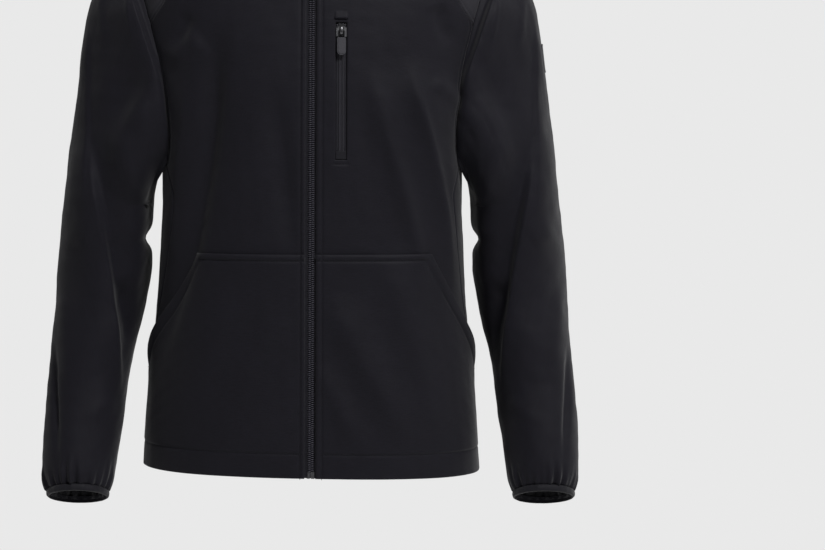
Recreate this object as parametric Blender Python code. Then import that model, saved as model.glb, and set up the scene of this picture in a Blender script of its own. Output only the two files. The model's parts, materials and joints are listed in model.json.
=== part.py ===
"""A zip-through softshell fleece jacket that keeps its worn form, hollow and open at neck, hem and cuffs.

Metres, +Z up, +X towards the wearer's left, -Y the front. The origin is the middle of the neck
opening at the height of the shoulders' highest points, where the jacket is held.
"""

import math
from typing import NamedTuple

import bmesh
import bpy
import numpy as np
from mathutils import Matrix, Vector

# Cloth and seams
WALL = 0.0020
COLLAR_WALL = 0.0026
SEAM = 0.0003
HEM_HEIGHT = -0.680
HEM_DEPTH = 0.028
HEM_PUFF = 0.0008
HEM_SWAY = 0.018
HEM_SWAY_FROM = -0.52

# Centre front
ZIP_EDGE_LEFT = 0.0050
ZIP_EDGE_RIGHT = 0.0072
ZIP_TAPE_HALF = 0.0120
ZIP_TAPE_THICK = 0.0008
ZIP_COIL_HALF = 0.0031
ZIP_COIL_RISE = 0.0027
ZIP_BEHIND = 0.0014
ZIP_BOX_TALL = 0.0080
ZIP_BOX_WIDE = ZIP_EDGE_LEFT + ZIP_EDGE_RIGHT - 2 * SEAM
ZIP_BOX_X = (ZIP_EDGE_LEFT - ZIP_EDGE_RIGHT) / 2

# Collar
COLLAR_TALL = 0.062
COLLAR_LEAN = 0.15
COLLAR_ROWS = 2

# Lower pockets
POCKET_TOP = -0.426
POCKET_SIDE = -0.538
POCKET_CORNER = 0.712
POCKET_GAPE = 0.0046
POCKET_OFF = 0.0014
POCKET_ROWS = 9

# Chest pocket
CHEST_X = 0.0333
CHEST_TOP = -0.164
CHEST_BOTTOM = -0.319
CHEST_SLOT_HALF = 0.0064
CHEST_SLIDER_HEIGHT = -0.1735
GARAGE_TALL = 0.011
GARAGE_WIDE = 0.0155
GARAGE_THICK = 0.0012

# Sleeves and cuffs
SLEEVE_COLUMNS = 40
CAP_ROWS = 7
ARM_ROWS = 10
CAP_FULLNESS = 0.66
CAP_STRAIGHT = 0.72
GATHER_LENGTH = 0.045
GATHER_HEIGHT = 0.0015
CUFF_TALL = 0.008
CUFF_THICK = 0.0024
CUFF_PUFF = 0.0008
PATCH_TOP = -0.185
PATCH_TALL = 0.034
PATCH_WIDE = 0.034
PATCH_THICK = 0.0012
PATCH_OFF = 0.0008

# Sliders and pull tabs
MAIN_PLATE_WIDE = 0.0086
CHEST_PLATE_WIDE = 0.0112
PLATE_TALL = 0.0140
PLATE_THICK = 0.0016
BAIL_HALF = 0.0024
BAIL_BAR = 0.0012
BAIL_WIDE = 0.0018
AXIS_ABOVE_PLATE = 0.0012
PULL_THICK = 0.0012
PULL_WINDOW_HALF = 0.0024
PULL_WINDOW_END = 0.0062


class Section(NamedTuple):
    """One level of the torso: half width, depth to the front and to the back, and how square it is."""

    height: float
    half_width: float
    front: float
    back: float
    square: float


TORSO = (
    Section(-0.680, 0.1955, 0.140, 0.136, 2.5),
    Section(-0.620, 0.1908, 0.139, 0.134, 2.5),
    Section(-0.560, 0.1860, 0.137, 0.130, 2.5),
    Section(-0.490, 0.1798, 0.136, 0.122, 2.5),
    Section(-0.430, 0.1755, 0.136, 0.115, 2.5),
    Section(-0.365, 0.172, 0.136, 0.112, 2.5),
    Section(-0.310, 0.175, 0.137, 0.116, 2.5),
    Section(-0.250, 0.187, 0.136, 0.122, 2.5),
    Section(-0.200, 0.199, 0.132, 0.126, 2.4),
    Section(-0.150, 0.207, 0.125, 0.126, 2.4),
    Section(-0.110, 0.211, 0.116, 0.122, 2.3),
    Section(-0.080, 0.210, 0.105, 0.116, 2.2),
    Section(-0.060, 0.203, 0.092, 0.110, 2.2),
    Section(-0.045, 0.178, 0.079, 0.104, 2.1),
    Section(-0.030, 0.145, 0.066, 0.096, 2.0),
    Section(-0.015, 0.112, 0.054, 0.088, 2.0),
    Section(0.000, 0.085, 0.046, 0.080, 2.0),
    Section(0.012, 0.072, 0.042, 0.075, 2.0),
)


class Knot(NamedTuple):
    """A point of a seam on the torso: how far along the seam, the angle from the front, the height."""

    along: float
    angle: float
    height: float


SIDE_SEAM = (
    Knot(0.00, 85.0, -0.680),
    Knot(0.20, 83.0, -0.610),
    Knot(0.40, 79.0, -0.540),
    Knot(0.60, 68.5, -0.470),
    Knot(0.78, 60.0, -0.410),
    Knot(0.90, 56.5, -0.362),
    Knot(1.00, 66.0, -0.326),
)
# Along is the angle round the sleeve: 0 at the shoulder tip, 90 in front, 180 under the arm.
ARMHOLE = (
    Knot(0.0, 90.0, -0.060),
    Knot(32.0, 74.0, -0.084),
    Knot(63.0, 59.5, -0.165),
    Knot(90.0, 57.0, -0.225),
    Knot(115.0, 59.0, -0.272),
    Knot(140.0, 62.5, -0.309),
    Knot(162.0, 66.0, -0.326),
    Knot(180.0, 83.0, -0.3245),
    Knot(205.0, 101.0, -0.312),
    Knot(235.0, 112.5, -0.262),
    Knot(265.0, 115.5, -0.205),
    Knot(297.0, 114.0, -0.140),
    Knot(330.0, 104.0, -0.084),
    Knot(360.0, 90.0, -0.060),
)
YOKE_FRONT = (
    Knot(0.00, 59.5, -0.165),
    Knot(0.20, 50.0, -0.140),
    Knot(0.45, 43.5, -0.100),
    Knot(0.72, 41.0, -0.052),
    Knot(1.00, 44.0, -0.0148),
)
YOKE_BACK = (
    Knot(0.0, 114.0, -0.140),
    Knot(0.5, 127.0, -0.075),
    Knot(1.0, 138.0, 0.006),
)
NECKLINE = (
    Knot(0.0, 0.0, -0.085),
    Knot(14.5, 14.5, -0.060),
    Knot(27.0, 27.0, -0.0345),
    Knot(44.0, 44.0, -0.0148),
    Knot(65.0, 65.0, -0.002),
    Knot(90.0, 90.0, 0.002),
    Knot(138.0, 138.0, 0.006),
    Knot(180.0, 180.0, 0.008),
)


class Fold(NamedTuple):
    """A soft ridge or, with a negative rise, a trough, drawn as seen square on from front or back."""

    x0: float
    z0: float
    x1: float
    z1: float
    bow: float
    half_width: float
    rise: float


FRONT_FOLDS = (
    Fold(0.118, -0.225, 0.180, -0.520, -0.004, 0.016, 0.0070),
    Fold(0.140, -0.250, 0.160, -0.420, 0.000, 0.014, -0.0035),
    Fold(0.097, -0.250, 0.127, -0.415, 0.004, 0.018, 0.0045),
    Fold(0.058, -0.225, 0.090, -0.350, 0.004, 0.018, -0.0035),
    Fold(0.120, -0.180, 0.168, -0.210, 0.002, 0.016, 0.0040),
    Fold(0.020, -0.500, 0.070, -0.620, 0.004, 0.020, -0.0030),
    Fold(0.050, -0.450, 0.105, -0.610, 0.004, 0.020, 0.0030),
    Fold(0.085, -0.480, 0.140, -0.610, 0.004, 0.020, -0.0035),
    Fold(-0.094, -0.205, -0.134, -0.425, -0.006, 0.020, -0.0055),
    Fold(-0.120, -0.230, -0.172, -0.500, 0.006, 0.018, 0.0060),
    Fold(-0.060, -0.230, -0.100, -0.430, -0.004, 0.022, 0.0035),
    Fold(-0.040, -0.240, -0.022, -0.385, 0.003, 0.016, -0.0030),
    Fold(-0.122, -0.180, -0.168, -0.214, -0.002, 0.016, 0.0040),
    Fold(-0.030, -0.470, -0.090, -0.620, 0.004, 0.022, 0.0030),
    Fold(-0.070, -0.460, -0.140, -0.600, 0.004, 0.020, -0.0035),
)
BACK_FOLDS = (
    Fold(0.150, -0.230, 0.060, -0.420, 0.008, 0.020, 0.0060),
    Fold(0.130, -0.210, 0.050, -0.330, 0.006, 0.018, -0.0045),
    Fold(-0.152, -0.235, -0.075, -0.440, -0.006, 0.020, 0.0055),
    Fold(-0.128, -0.205, -0.040, -0.345, -0.006, 0.018, -0.0045),
    Fold(-0.120, -0.395, 0.110, -0.405, 0.012, 0.020, -0.0050),
    Fold(-0.100, -0.435, 0.125, -0.445, 0.010, 0.020, 0.0050),
    Fold(0.070, -0.480, 0.120, -0.640, 0.004, 0.022, 0.0035),
    Fold(-0.060, -0.500, -0.100, -0.650, 0.004, 0.022, -0.0035),
)
SLEEVE_FRONT_FOLDS = (
    Fold(0.256, -0.200, 0.236, -0.400, 0.012, 0.015, -0.0065),
    Fold(0.240, -0.360, 0.196, -0.490, 0.004, 0.014, -0.0060),
    Fold(0.228, -0.240, 0.214, -0.380, -0.004, 0.018, 0.0050),
    Fold(0.186, -0.420, 0.222, -0.385, 0.004, 0.013, 0.0055),
    Fold(0.215, -0.500, 0.280, -0.560, 0.006, 0.016, 0.0045),
    Fold(0.222, -0.560, 0.276, -0.600, 0.004, 0.015, -0.0040),
)
SLEEVE_BACK_FOLDS = (
    Fold(0.200, -0.250, 0.262, -0.380, 0.008, 0.018, 0.0055),
    Fold(0.205, -0.330, 0.268, -0.440, 0.006, 0.016, -0.0050),
    Fold(0.210, -0.430, 0.272, -0.470, 0.006, 0.016, 0.0055),
    Fold(0.215, -0.490, 0.276, -0.510, 0.004, 0.015, -0.0045),
    Fold(0.225, -0.550, 0.284, -0.600, 0.006, 0.016, 0.0040),
)


class ArmRing(NamedTuple):
    """One ring of the sleeve: its centre, its half width seen from the front and its half depth."""

    x: float
    y: float
    z: float
    half_width: float
    half_depth: float


ARM = (
    ArmRing(0.2380, 0.012, -0.370, 0.0515, 0.0700),
    ArmRing(0.2425, 0.015, -0.4285, 0.0540, 0.0680),
    ArmRing(0.2470, 0.008, -0.487, 0.0525, 0.0620),
    ArmRing(0.2550, -0.008, -0.5455, 0.0485, 0.0570),
    ArmRing(0.2620, -0.027, -0.604, 0.0457, 0.0520),
    ArmRing(0.2665, -0.043, -0.651, 0.0437, 0.0490),
    ArmRing(0.2688, -0.056, -0.688, 0.0400, 0.0450),
    ArmRing(0.2690, -0.061, -0.703, 0.0350, 0.0392),
)


class Outline(NamedTuple):
    """Half the pull tab's outline: the distance down from its axis and the half width there."""

    down: float
    half_width: float


PULL_OUTLINE = (
    Outline(-0.0006, 0.0034),
    Outline(0.0004, 0.0040),
    Outline(0.0060, 0.0040),
    Outline(0.0074, 0.0053),
    Outline(0.0230, 0.0053),
    Outline(0.0258, 0.0045),
    Outline(0.0276, 0.0028),
    Outline(0.0282, 0.0010),
)

# Rows and columns of the panels
HEM_ROWS = HEM_HEIGHT + np.array([0.0, 0.0130, HEM_DEPTH - 0.0015, HEM_DEPTH + 0.0015])
SIDE_HEIGHTS = np.concatenate([HEM_ROWS, np.linspace(-0.615, SIDE_SEAM[-1].height, 9)])
FRONT_ARM_ROWS = 11
BACK_ARM_ROWS = 15
YOKE_ROWS = 7
YOKE_COLUMNS = 14
BACK_COLUMNS = 16
FRONT_COLUMNS = np.concatenate([np.linspace(0, POCKET_CORNER, 9), np.linspace(POCKET_CORNER, 1, 5)[1:]])
CENTRE_AT_YOKE = -0.190
BACK_AT_YOKE = -0.120
ARM_STEP = 360 / SLEEVE_COLUMNS
UNDER_ARM = 162.0
YOKE_END = 63.0

# Finishes: name, base colour, roughness, metallic
CLOTH = ("softshell", (0.014, 0.0135, 0.018), 0.8, 0.0)
YOKE_CLOTH = ("yoke_cloth", (0.035, 0.034, 0.040), 0.8, 0.0)
BINDING = ("binding", (0.016, 0.016, 0.019), 0.7, 0.0)
ZIP = ("zip", (0.018, 0.018, 0.021), 0.6, 0.0)
METAL = ("slider_metal", (0.300, 0.300, 0.310), 0.35, 1.0)
TAB = ("tab", (0.050, 0.049, 0.054), 0.5, 0.0)


def smooth(knots, values, at):
    """A smooth curve through the table's points that never overshoots them."""
    knots = np.asarray(knots, float)
    values = np.asarray(values, float)
    step = np.diff(knots)
    rise = np.diff(values) / step
    slope = np.zeros_like(values)
    slope[0] = rise[0]
    slope[-1] = rise[-1]
    turning = rise[:-1] * rise[1:] <= 0
    total = np.where(turning, 1.0, rise[:-1] + rise[1:])
    slope[1:-1] = np.where(turning, 0.0, 2 * rise[:-1] * rise[1:] / total)
    place = np.clip(np.searchsorted(knots, at, side="right") - 1, 0, len(step) - 1)
    t = np.clip((at - knots[place]) / step[place], 0, 1)
    h = step[place]
    start = (1 + 2 * t) * (1 - t) ** 2 * values[place] + t * (1 - t) ** 2 * h * slope[place]
    end = t * t * (3 - 2 * t) * values[place + 1] + t * t * (t - 1) * h * slope[place + 1]
    return start + end


def column(table, name):
    """One named column of a table, as numbers."""
    return np.array([getattr(row, name) for row in table])


def along_seam(seam, at):
    """Angles in radians and heights at these places along a seam."""
    at = np.asarray(at, float)
    angle = smooth(column(seam, "along"), np.radians(column(seam, "angle")), at)
    height = smooth(column(seam, "along"), column(seam, "height"), at)
    return angle, height


def ease(value):
    """0 to 1 with level ends."""
    t = np.clip(value, 0, 1)
    return t * t * (3 - 2 * t)


def unit(vectors):
    """The vectors at length one."""
    return vectors / np.linalg.norm(vectors, axis=-1, keepdims=True)


def torso(angle, height):
    """Points of the plain torso form."""
    levels = column(TORSO, "height")
    half_width = smooth(levels, column(TORSO, "half_width"), height)
    front = smooth(levels, column(TORSO, "front"), height)
    back = smooth(levels, column(TORSO, "back"), height)
    square = smooth(levels, column(TORSO, "square"), height)
    sine = np.sin(angle)
    cosine = np.cos(angle)
    reach = (np.abs(sine) ** square + np.abs(cosine) ** square) ** (-1 / square)
    depth = np.where(cosine > 0, front, back)
    return np.stack([half_width * reach * sine, -depth * reach * cosine, height + 0 * angle], axis=-1)


def torso_normal(angle, height):
    """Outward directions of the plain torso form."""
    little = 1e-4
    round_it = torso(angle + little, height) - torso(angle - little, height)
    up_it = torso(angle, height + little) - torso(angle, height - little)
    return unit(np.cross(round_it, up_it))


def relief(points, normals, front_folds, back_folds):
    """How far the folds lift each point, fading at a fold's ends and where the cloth turns away."""
    lift = np.zeros(points.shape[:-1])
    for facing, folds in ((-1, front_folds), (1, back_folds)):
        seen = ease(facing * normals[..., 1] * 1.6)
        for fold in folds:
            run = np.array([fold.x1 - fold.x0, fold.z1 - fold.z0])
            length = np.hypot(*run)
            run = run / length
            from_start = points[..., [0, 2]] - np.array([fold.x0, fold.z0])
            t = np.clip(from_start @ run / length, 0, 1)
            across = from_start @ np.array([-run[1], run[0]]) - fold.bow * 4 * t * (1 - t)
            hump = np.exp(-((across / fold.half_width) ** 2)) * (4 * t * (1 - t)) ** 0.75
            lift += fold.rise * hump * seen
    return lift


def cloth(angle, height):
    """Outer points of the torso's cloth with its folds and its turned hem, and its outward directions."""
    points = torso(angle, height)
    normals = torso_normal(angle, height)
    lift = relief(points, normals, FRONT_FOLDS, BACK_FOLDS)
    lift = lift * ease((height - HEM_HEIGHT) / 0.06) * ease((-0.085 - height) / 0.04)
    lift = lift + np.where(height < HEM_HEIGHT + HEM_DEPTH, HEM_PUFF, 0.0)
    points = points + normals * lift[..., None]
    low = ease((HEM_SWAY_FROM - height) / (HEM_SWAY_FROM - HEM_HEIGHT))
    points[..., 2] -= HEM_SWAY * points[..., 0] * low
    return points, normals


def angle_at(x, height):
    """The angle on the torso's front where it passes this far sideways."""
    levels = column(TORSO, "height")
    share = x / smooth(levels, column(TORSO, "half_width"), height)
    square = smooth(levels, column(TORSO, "square"), height)
    return np.arctan2(share, (1 - np.abs(share) ** square) ** (1 / square))


def grid_normals(grid, closed):
    """Directions square to a grid of points, outward for rows that run up or down and columns round."""
    if closed:
        across = np.roll(grid, -1, axis=1) - np.roll(grid, 1, axis=1)
    else:
        across = np.gradient(grid, axis=1)
    return unit(np.cross(across, np.gradient(grid, axis=0)))


def draw_in(grid, gap=SEAM / 2):
    """A copy of an open grid with each edge drawn in by half a seam."""
    grid = grid.copy()
    first = unit(grid[:, 1] - grid[:, 0])
    last = unit(grid[:, -2] - grid[:, -1])
    low = unit(grid[1] - grid[0])
    high = unit(grid[-2] - grid[-1])
    grid[:, 0] += first * gap
    grid[:, -1] += last * gap
    grid[0] += low * gap
    grid[-1] += high * gap
    return grid


def material(finish):
    """The named finish as a material."""
    name, colour, roughness, metallic = finish
    found = bpy.data.materials.get(name)
    if found:
        return found
    made = bpy.data.materials.new(name)
    made.use_nodes = True
    shader = made.node_tree.nodes["Principled BSDF"]
    shader.inputs["Base Color"].default_value = (*colour, 1)
    shader.inputs["Roughness"].default_value = roughness
    shader.inputs["Metallic"].default_value = metallic
    made.diffuse_color = (*colour, 1)
    return made


def add_object(name, mesh_maker, finish):
    """A new object whose mesh the maker fills in, with its faces turned outward."""
    mesh = bpy.data.meshes.new(name)
    shape = bmesh.new()
    mesh_maker(shape)
    bmesh.ops.recalc_face_normals(shape, faces=shape.faces)
    shape.to_mesh(mesh)
    shape.free()
    mesh.materials.append(material(finish))
    obj = bpy.data.objects.new(name, mesh)
    bpy.context.scene.collection.objects.link(obj)
    return obj


def wall(name, outer, inner, finish, closed=False):
    """A cloth wall: the space between two grids of points, closed round its rim."""
    rows, columns = outer.shape[:2]
    last = columns if closed else columns - 1

    def fill(shape):
        faces = [[[shape.verts.new(p) for p in row] for row in grid] for grid in (outer, inner)]
        for grid in faces:
            for i in range(rows - 1):
                for j in range(last):
                    k = (j + 1) % columns
                    shape.faces.new((grid[i][j], grid[i][k], grid[i + 1][k], grid[i + 1][j]))
        front, back = faces
        for i in (0, rows - 1):
            for j in range(last):
                k = (j + 1) % columns
                shape.faces.new((front[i][j], front[i][k], back[i][k], back[i][j]))
        for j in () if closed else (0, columns - 1):
            for i in range(rows - 1):
                shape.faces.new((front[i][j], front[i + 1][j], back[i + 1][j], back[i][j]))

    return add_object(name, fill, finish)


def arm_angles(start, end, steps):
    """Places along the armhole in the sleeve's own steps."""
    return np.linspace(start, end, steps + 1)


def front_places(side, edge):
    """Angles and heights of a front's grid: rows from hem to neck, columns from the zip to the side."""
    side_at = np.interp(SIDE_HEIGHTS, column(SIDE_SEAM, "height"), column(SIDE_SEAM, "along"))
    for _ in range(20):
        side_at = side_at + (SIDE_HEIGHTS - along_seam(SIDE_SEAM, side_at)[1]) / 0.36
    low = along_seam(SIDE_SEAM, side_at)
    arm = along_seam(ARMHOLE, arm_angles(UNDER_ARM, YOKE_END, FRONT_ARM_ROWS))
    yoke = along_seam(YOKE_FRONT, np.linspace(0, 1, YOKE_ROWS + 1))
    outer_angle = np.concatenate([low[0], arm[0][1:], yoke[0][1:]])
    outer_height = np.concatenate([SIDE_HEIGHTS, arm[1][1:], yoke[1][1:]])
    neck_angle = angle_at(edge, np.array(NECKLINE[0].height))
    neck_height = along_seam(NECKLINE, np.degrees(neck_angle))[1]
    arm_centre = np.linspace(SIDE_HEIGHTS[-1], CENTRE_AT_YOKE, FRONT_ARM_ROWS + 1)
    yoke_centre = np.linspace(CENTRE_AT_YOKE, neck_height, YOKE_ROWS + 1)
    centre_height = np.concatenate([SIDE_HEIGHTS, arm_centre[1:], yoke_centre[1:]])
    centre_angle = angle_at(edge, centre_height)
    u = FRONT_COLUMNS[None, :]
    angle = (1 - u) * centre_angle[:, None] + u * outer_angle[:, None]
    height = (1 - u) * centre_height[:, None] + u * outer_height[:, None]
    bend = along_seam(NECKLINE, np.degrees(angle[-1]))[1] - height[-1]
    weight = ease((np.arange(len(angle)) - len(SIDE_HEIGHTS)) / (FRONT_ARM_ROWS + YOKE_ROWS - 1))
    return side * angle, height + weight[:, None] * bend


def back_places():
    """Angles and heights of the back's grid: columns from the wearer's left side seam to the right one."""
    front_angle, _ = front_places(1, ZIP_EDGE_LEFT)
    low = front_angle[: len(SIDE_HEIGHTS), -1]
    arm = along_seam(ARMHOLE, arm_angles(UNDER_ARM, 360 - YOKE_END, BACK_ARM_ROWS))
    yoke = along_seam(YOKE_BACK, np.linspace(0, 1, YOKE_ROWS + 1))
    edge_angle = np.concatenate([low, arm[0][1:], yoke[0][1:]])
    edge_height = np.concatenate([SIDE_HEIGHTS, arm[1][1:], yoke[1][1:]])
    arm_centre = np.linspace(SIDE_HEIGHTS[-1], BACK_AT_YOKE, BACK_ARM_ROWS + 1)
    yoke_centre = np.linspace(BACK_AT_YOKE, NECKLINE[-1].height, YOKE_ROWS + 1)
    centre_height = np.concatenate([SIDE_HEIGHTS, arm_centre[1:], yoke_centre[1:]])
    u = np.linspace(-1, 1, BACK_COLUMNS + 1)[None, :]
    angle = math.pi + u * (math.pi - edge_angle)[:, None]
    height = centre_height[:, None] + u * u * (edge_height - centre_height)[:, None]
    bend = along_seam(NECKLINE, 180 - np.abs(180 - np.degrees(angle[-1])))[1] - height[-1]
    weight = ease((np.arange(len(angle)) - len(SIDE_HEIGHTS)) / (BACK_ARM_ROWS + YOKE_ROWS - 1))
    return angle, height + weight[:, None] * bend


def yoke_places(side):
    """Angles and heights of a yoke's grid: rows from armhole to neck, columns from front to back."""
    u = np.linspace(0, 1, YOKE_COLUMNS + 1)[None, :]
    v = np.linspace(0, 1, YOKE_ROWS + 1)[:, None]
    low = along_seam(ARMHOLE, np.linspace(YOKE_END, -YOKE_END, YOKE_COLUMNS + 1) % 360)
    first = along_seam(YOKE_FRONT, v[:, 0])
    last = along_seam(YOKE_BACK, v[:, 0])
    neck = np.linspace(NECKLINE[3].angle, NECKLINE[6].angle, YOKE_COLUMNS + 1)
    high = along_seam(NECKLINE, neck)
    places = []
    for b, t, f, e in zip(low, high, first, last):
        sides = (1 - u) * f[:, None] + u * e[:, None]
        ends = (1 - v) * b[None, :] + v * t[None, :]
        corners = (1 - v) * ((1 - u) * b[0] + u * b[-1]) + v * ((1 - u) * t[0] + u * t[-1])
        places.append(sides + ends - corners)
    return side * places[0], places[1]


def armhole(alpha, side):
    """Points and outward directions of a side's armhole seam, turned over to the wearer's left."""
    angle, height = along_seam(ARMHOLE, alpha % 360)
    points, normals = cloth(side * angle, height)
    turn = np.array([side, 1, 1])
    return points * turn, normals * turn


def sleeve_point(alpha, rows, side=1):
    """Points of a sleeve without folds, drawn on the wearer's left.

    Rows run from 0 to 1 on the cap and from 1 to 2 on the arm. Alpha and rows are arrays that share a
    shape. The side, 1 or -1, is whose armhole it starts from.
    """
    centres = np.array([(r.x, r.y, r.z) for r in ARM])
    lengths = np.concatenate([[0], np.cumsum(np.linalg.norm(np.diff(centres, axis=0), axis=1))])
    lengths = lengths / lengths[-1]
    s = np.clip(rows - 1, 0, 1)
    centre = np.stack([smooth(lengths, centres[:, i], s) for i in range(3)], axis=-1)
    ahead = np.stack([smooth(lengths, centres[:, i], s + 0.01) for i in range(3)], axis=-1)
    behind = np.stack([smooth(lengths, centres[:, i], s - 0.01) for i in range(3)], axis=-1)
    axis = unit(ahead - behind)
    outward = np.array([1.0, 0, 0])
    forward = unit(np.cross(axis, outward))
    half_width = smooth(lengths, column(ARM, "half_width"), s)[..., None]
    half_depth = smooth(lengths, column(ARM, "half_depth"), s)[..., None]
    cosine = np.cos(np.radians(alpha))[..., None]
    sine = np.sin(np.radians(alpha))[..., None]
    ring = centre + outward * half_width * cosine + forward * half_depth * sine
    start = armhole(alpha, side)[0]
    reach = np.linalg.norm(ring - start, axis=-1, keepdims=True)
    droop = np.radians(49 - 21 * np.cos(np.radians(alpha)))[..., None]
    leave = np.concatenate([np.cos(droop), 0 * droop, -np.sin(droop)], axis=-1)
    t = np.clip(rows, 0, 1)[..., None]
    cap = (1 + 2 * t) * (1 - t) ** 2 * start + t * (1 - t) ** 2 * CAP_FULLNESS * reach * leave
    cap = cap + t * t * (3 - 2 * t) * ring + t * t * (t - 1) * CAP_STRAIGHT * reach * axis
    return np.where(t < 1, cap, ring)


def sleeve_beside(y, z):
    """Points on the outside of the wearer's left sleeve at these places, as seen from the side."""
    y, z = np.meshgrid(y, z)
    alpha = 0 * y
    rows = 0 * y + 0.5
    for _ in range(60):
        found = sleeve_point(alpha, rows)
        alpha = alpha + 500 * (found[..., 1] - y)
        rows = rows + 2 * (found[..., 2] - z)
    return sleeve_point(alpha, rows)


def sleeve_cloth(alpha, rows, side):
    """Outer points of a sleeve with folds and wrist gathers, alpha in even steps."""
    plain = sleeve_point(alpha, rows, side)
    lift = relief(plain, grid_normals(plain, True), SLEEVE_FRONT_FOLDS, SLEEVE_BACK_FOLDS)
    lift = lift * ease(rows / 0.35)
    to_wrist = np.linalg.norm(plain - plain[-1:], axis=-1)
    gather = np.where(np.round(alpha / ARM_STEP) % 2 == 0, 1.0, -1.0)
    lift = lift + GATHER_HEIGHT * gather * ease(1 - to_wrist / GATHER_LENGTH)
    return plain + grid_normals(plain, True) * lift[..., None]


def sleeve_grid(side):
    """A sleeve's points and outward directions, rows from armhole to wrist and columns round."""
    arm = 1 + 1 - (1 - np.linspace(0, 1, ARM_ROWS + 1)[1:]) ** 1.25
    rows = np.concatenate([np.linspace(0, 1, CAP_ROWS + 1) ** 1.1, arm])
    alpha = np.arange(SLEEVE_COLUMNS) * ARM_STEP
    alpha, rows = np.meshgrid(alpha, rows)
    grid = sleeve_cloth(alpha, rows, side)
    normals = grid_normals(grid, True)
    outward = np.sum(normals * (grid - grid.mean(axis=1, keepdims=True)))
    return grid, normals * np.sign(outward)


def mitred(own, other):
    """Edge directions shared by two pieces that meet in a ridge, each its own where they meet in a groove."""
    share = ease(np.sum(own * other, axis=-1, keepdims=True) / 0.5)
    edge = unit(own + share * other)
    return edge / np.clip(np.sum(edge * own, axis=-1, keepdims=True), 0.7, 1)


def panel(name, places, finish, armhole_edges):
    """A torso panel as a wall, with its armhole edges mitred to the sleeves."""
    outer, normals = cloth(*places)
    inward = normals.copy()
    for rows, columns, alphas, side in armhole_edges:
        first_ring = sleeve_grid(side)[1][0]
        other = first_ring[np.round(alphas / ARM_STEP).astype(int) % SLEEVE_COLUMNS]
        other = other * np.array([side, 1, 1])
        inward[rows, columns] = mitred(normals[rows, columns], other)
    outer = draw_in(outer)
    return wall(name, outer, outer - WALL * inward, finish)


def build_torso():
    """The fronts, the back and the yokes."""
    first = len(SIDE_HEIGHTS) - 1
    arm = arm_angles(UNDER_ARM, YOKE_END, FRONT_ARM_ROWS)
    rows = slice(first, first + FRONT_ARM_ROWS + 1)
    for name, side, edge in (("left", 1, ZIP_EDGE_LEFT), ("right", -1, ZIP_EDGE_RIGHT)):
        edges = [(rows, -1, arm, side)]
        panel(f"front_{name}", front_places(side, edge), CLOTH, edges)
        over = np.linspace(YOKE_END, -YOKE_END, YOKE_COLUMNS + 1)
        edges = [(0, slice(None), over, side)]
        panel(f"yoke_{name}", yoke_places(side), YOKE_CLOTH, edges)
    arm = arm_angles(UNDER_ARM, 360 - YOKE_END, BACK_ARM_ROWS)
    rows = slice(first, first + BACK_ARM_ROWS + 1)
    edges = [(rows, 0, arm, 1), (rows, -1, arm, -1)]
    panel("back", back_places(), CLOTH, edges)


def build_sleeve(name, side):
    """A sleeve with its cuff."""
    outer, normals = sleeve_grid(side)
    alpha = np.arange(SLEEVE_COLUMNS) * ARM_STEP
    normals[0] = mitred(normals[0], armhole(alpha, side)[1])
    outer[0] += unit(outer[1] - outer[0]) * SEAM
    turn = np.array([side, 1, 1])
    wall(f"sleeve_{name}", outer * turn, (outer - WALL * normals) * turn, CLOTH, closed=True)
    ends = sleeve_point(alpha, 0 * alpha + 2, side)
    quarter = SLEEVE_COLUMNS // 4
    away = unit(np.cross(ends[0] - ends[2 * quarter], ends[quarter] - ends[3 * quarter]))
    away = -away * np.sign(away[2])
    round_out = unit(ends - ends.mean(axis=0))
    profile = ((SEAM, -0.0009), (CUFF_TALL / 2, CUFF_PUFF), (CUFF_TALL, -0.0009))
    band = np.stack([ends + away * down + round_out * out for down, out in profile])
    wall(f"cuff_{name}", band * turn, (band - round_out * CUFF_THICK) * turn, BINDING, closed=True)


def build_patch():
    """The bare patch on the outside of the wearer's left sleeve."""
    across = np.linspace(-0.5, 0.5, 5) * PATCH_WIDE
    points = sleeve_beside(across, PATCH_TOP - np.linspace(0, 1, 4) * PATCH_TALL)
    lift = grid_normals(points, False)
    lift = lift * np.sign(lift[..., :1])
    low = points + lift * PATCH_OFF
    wall("sleeve_patch", low + lift * PATCH_THICK, low, YOKE_CLOTH)


def build_collar():
    """The stand collar, from the top edges of the pieces round the neck."""
    right = [np.array(p)[-1, ::-1] for p in front_places(-1, ZIP_EDGE_RIGHT)]
    left = [np.array(p)[-1] for p in front_places(1, ZIP_EDGE_LEFT)]
    yoke_left = [p[-1] for p in yoke_places(1)]
    yoke_right = [p[-1, ::-1] for p in yoke_places(-1)]
    back = [p[-1] for p in back_places()]
    order = (left, yoke_left, back, yoke_right, right)
    angle = np.concatenate([order[0][0]] + [p[0][1:] for p in order[1:]])
    height = np.concatenate([order[0][1]] + [p[1][1:] for p in order[1:]])
    base = cloth(angle, height)[0]
    radial = unit(base * np.array([1.0, 1.0, 0]))
    rise = unit(np.array([0, 0, 1.0]) - COLLAR_LEAN * radial)
    steps = np.linspace(SEAM, COLLAR_TALL, COLLAR_ROWS + 1)
    outer = np.stack([base + rise * s + radial * 0.05 * s * (1 - s / COLLAR_TALL) for s in steps])
    inner = outer - radial * COLLAR_WALL
    wall("collar", outer, inner, CLOTH)
    return outer


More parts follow.
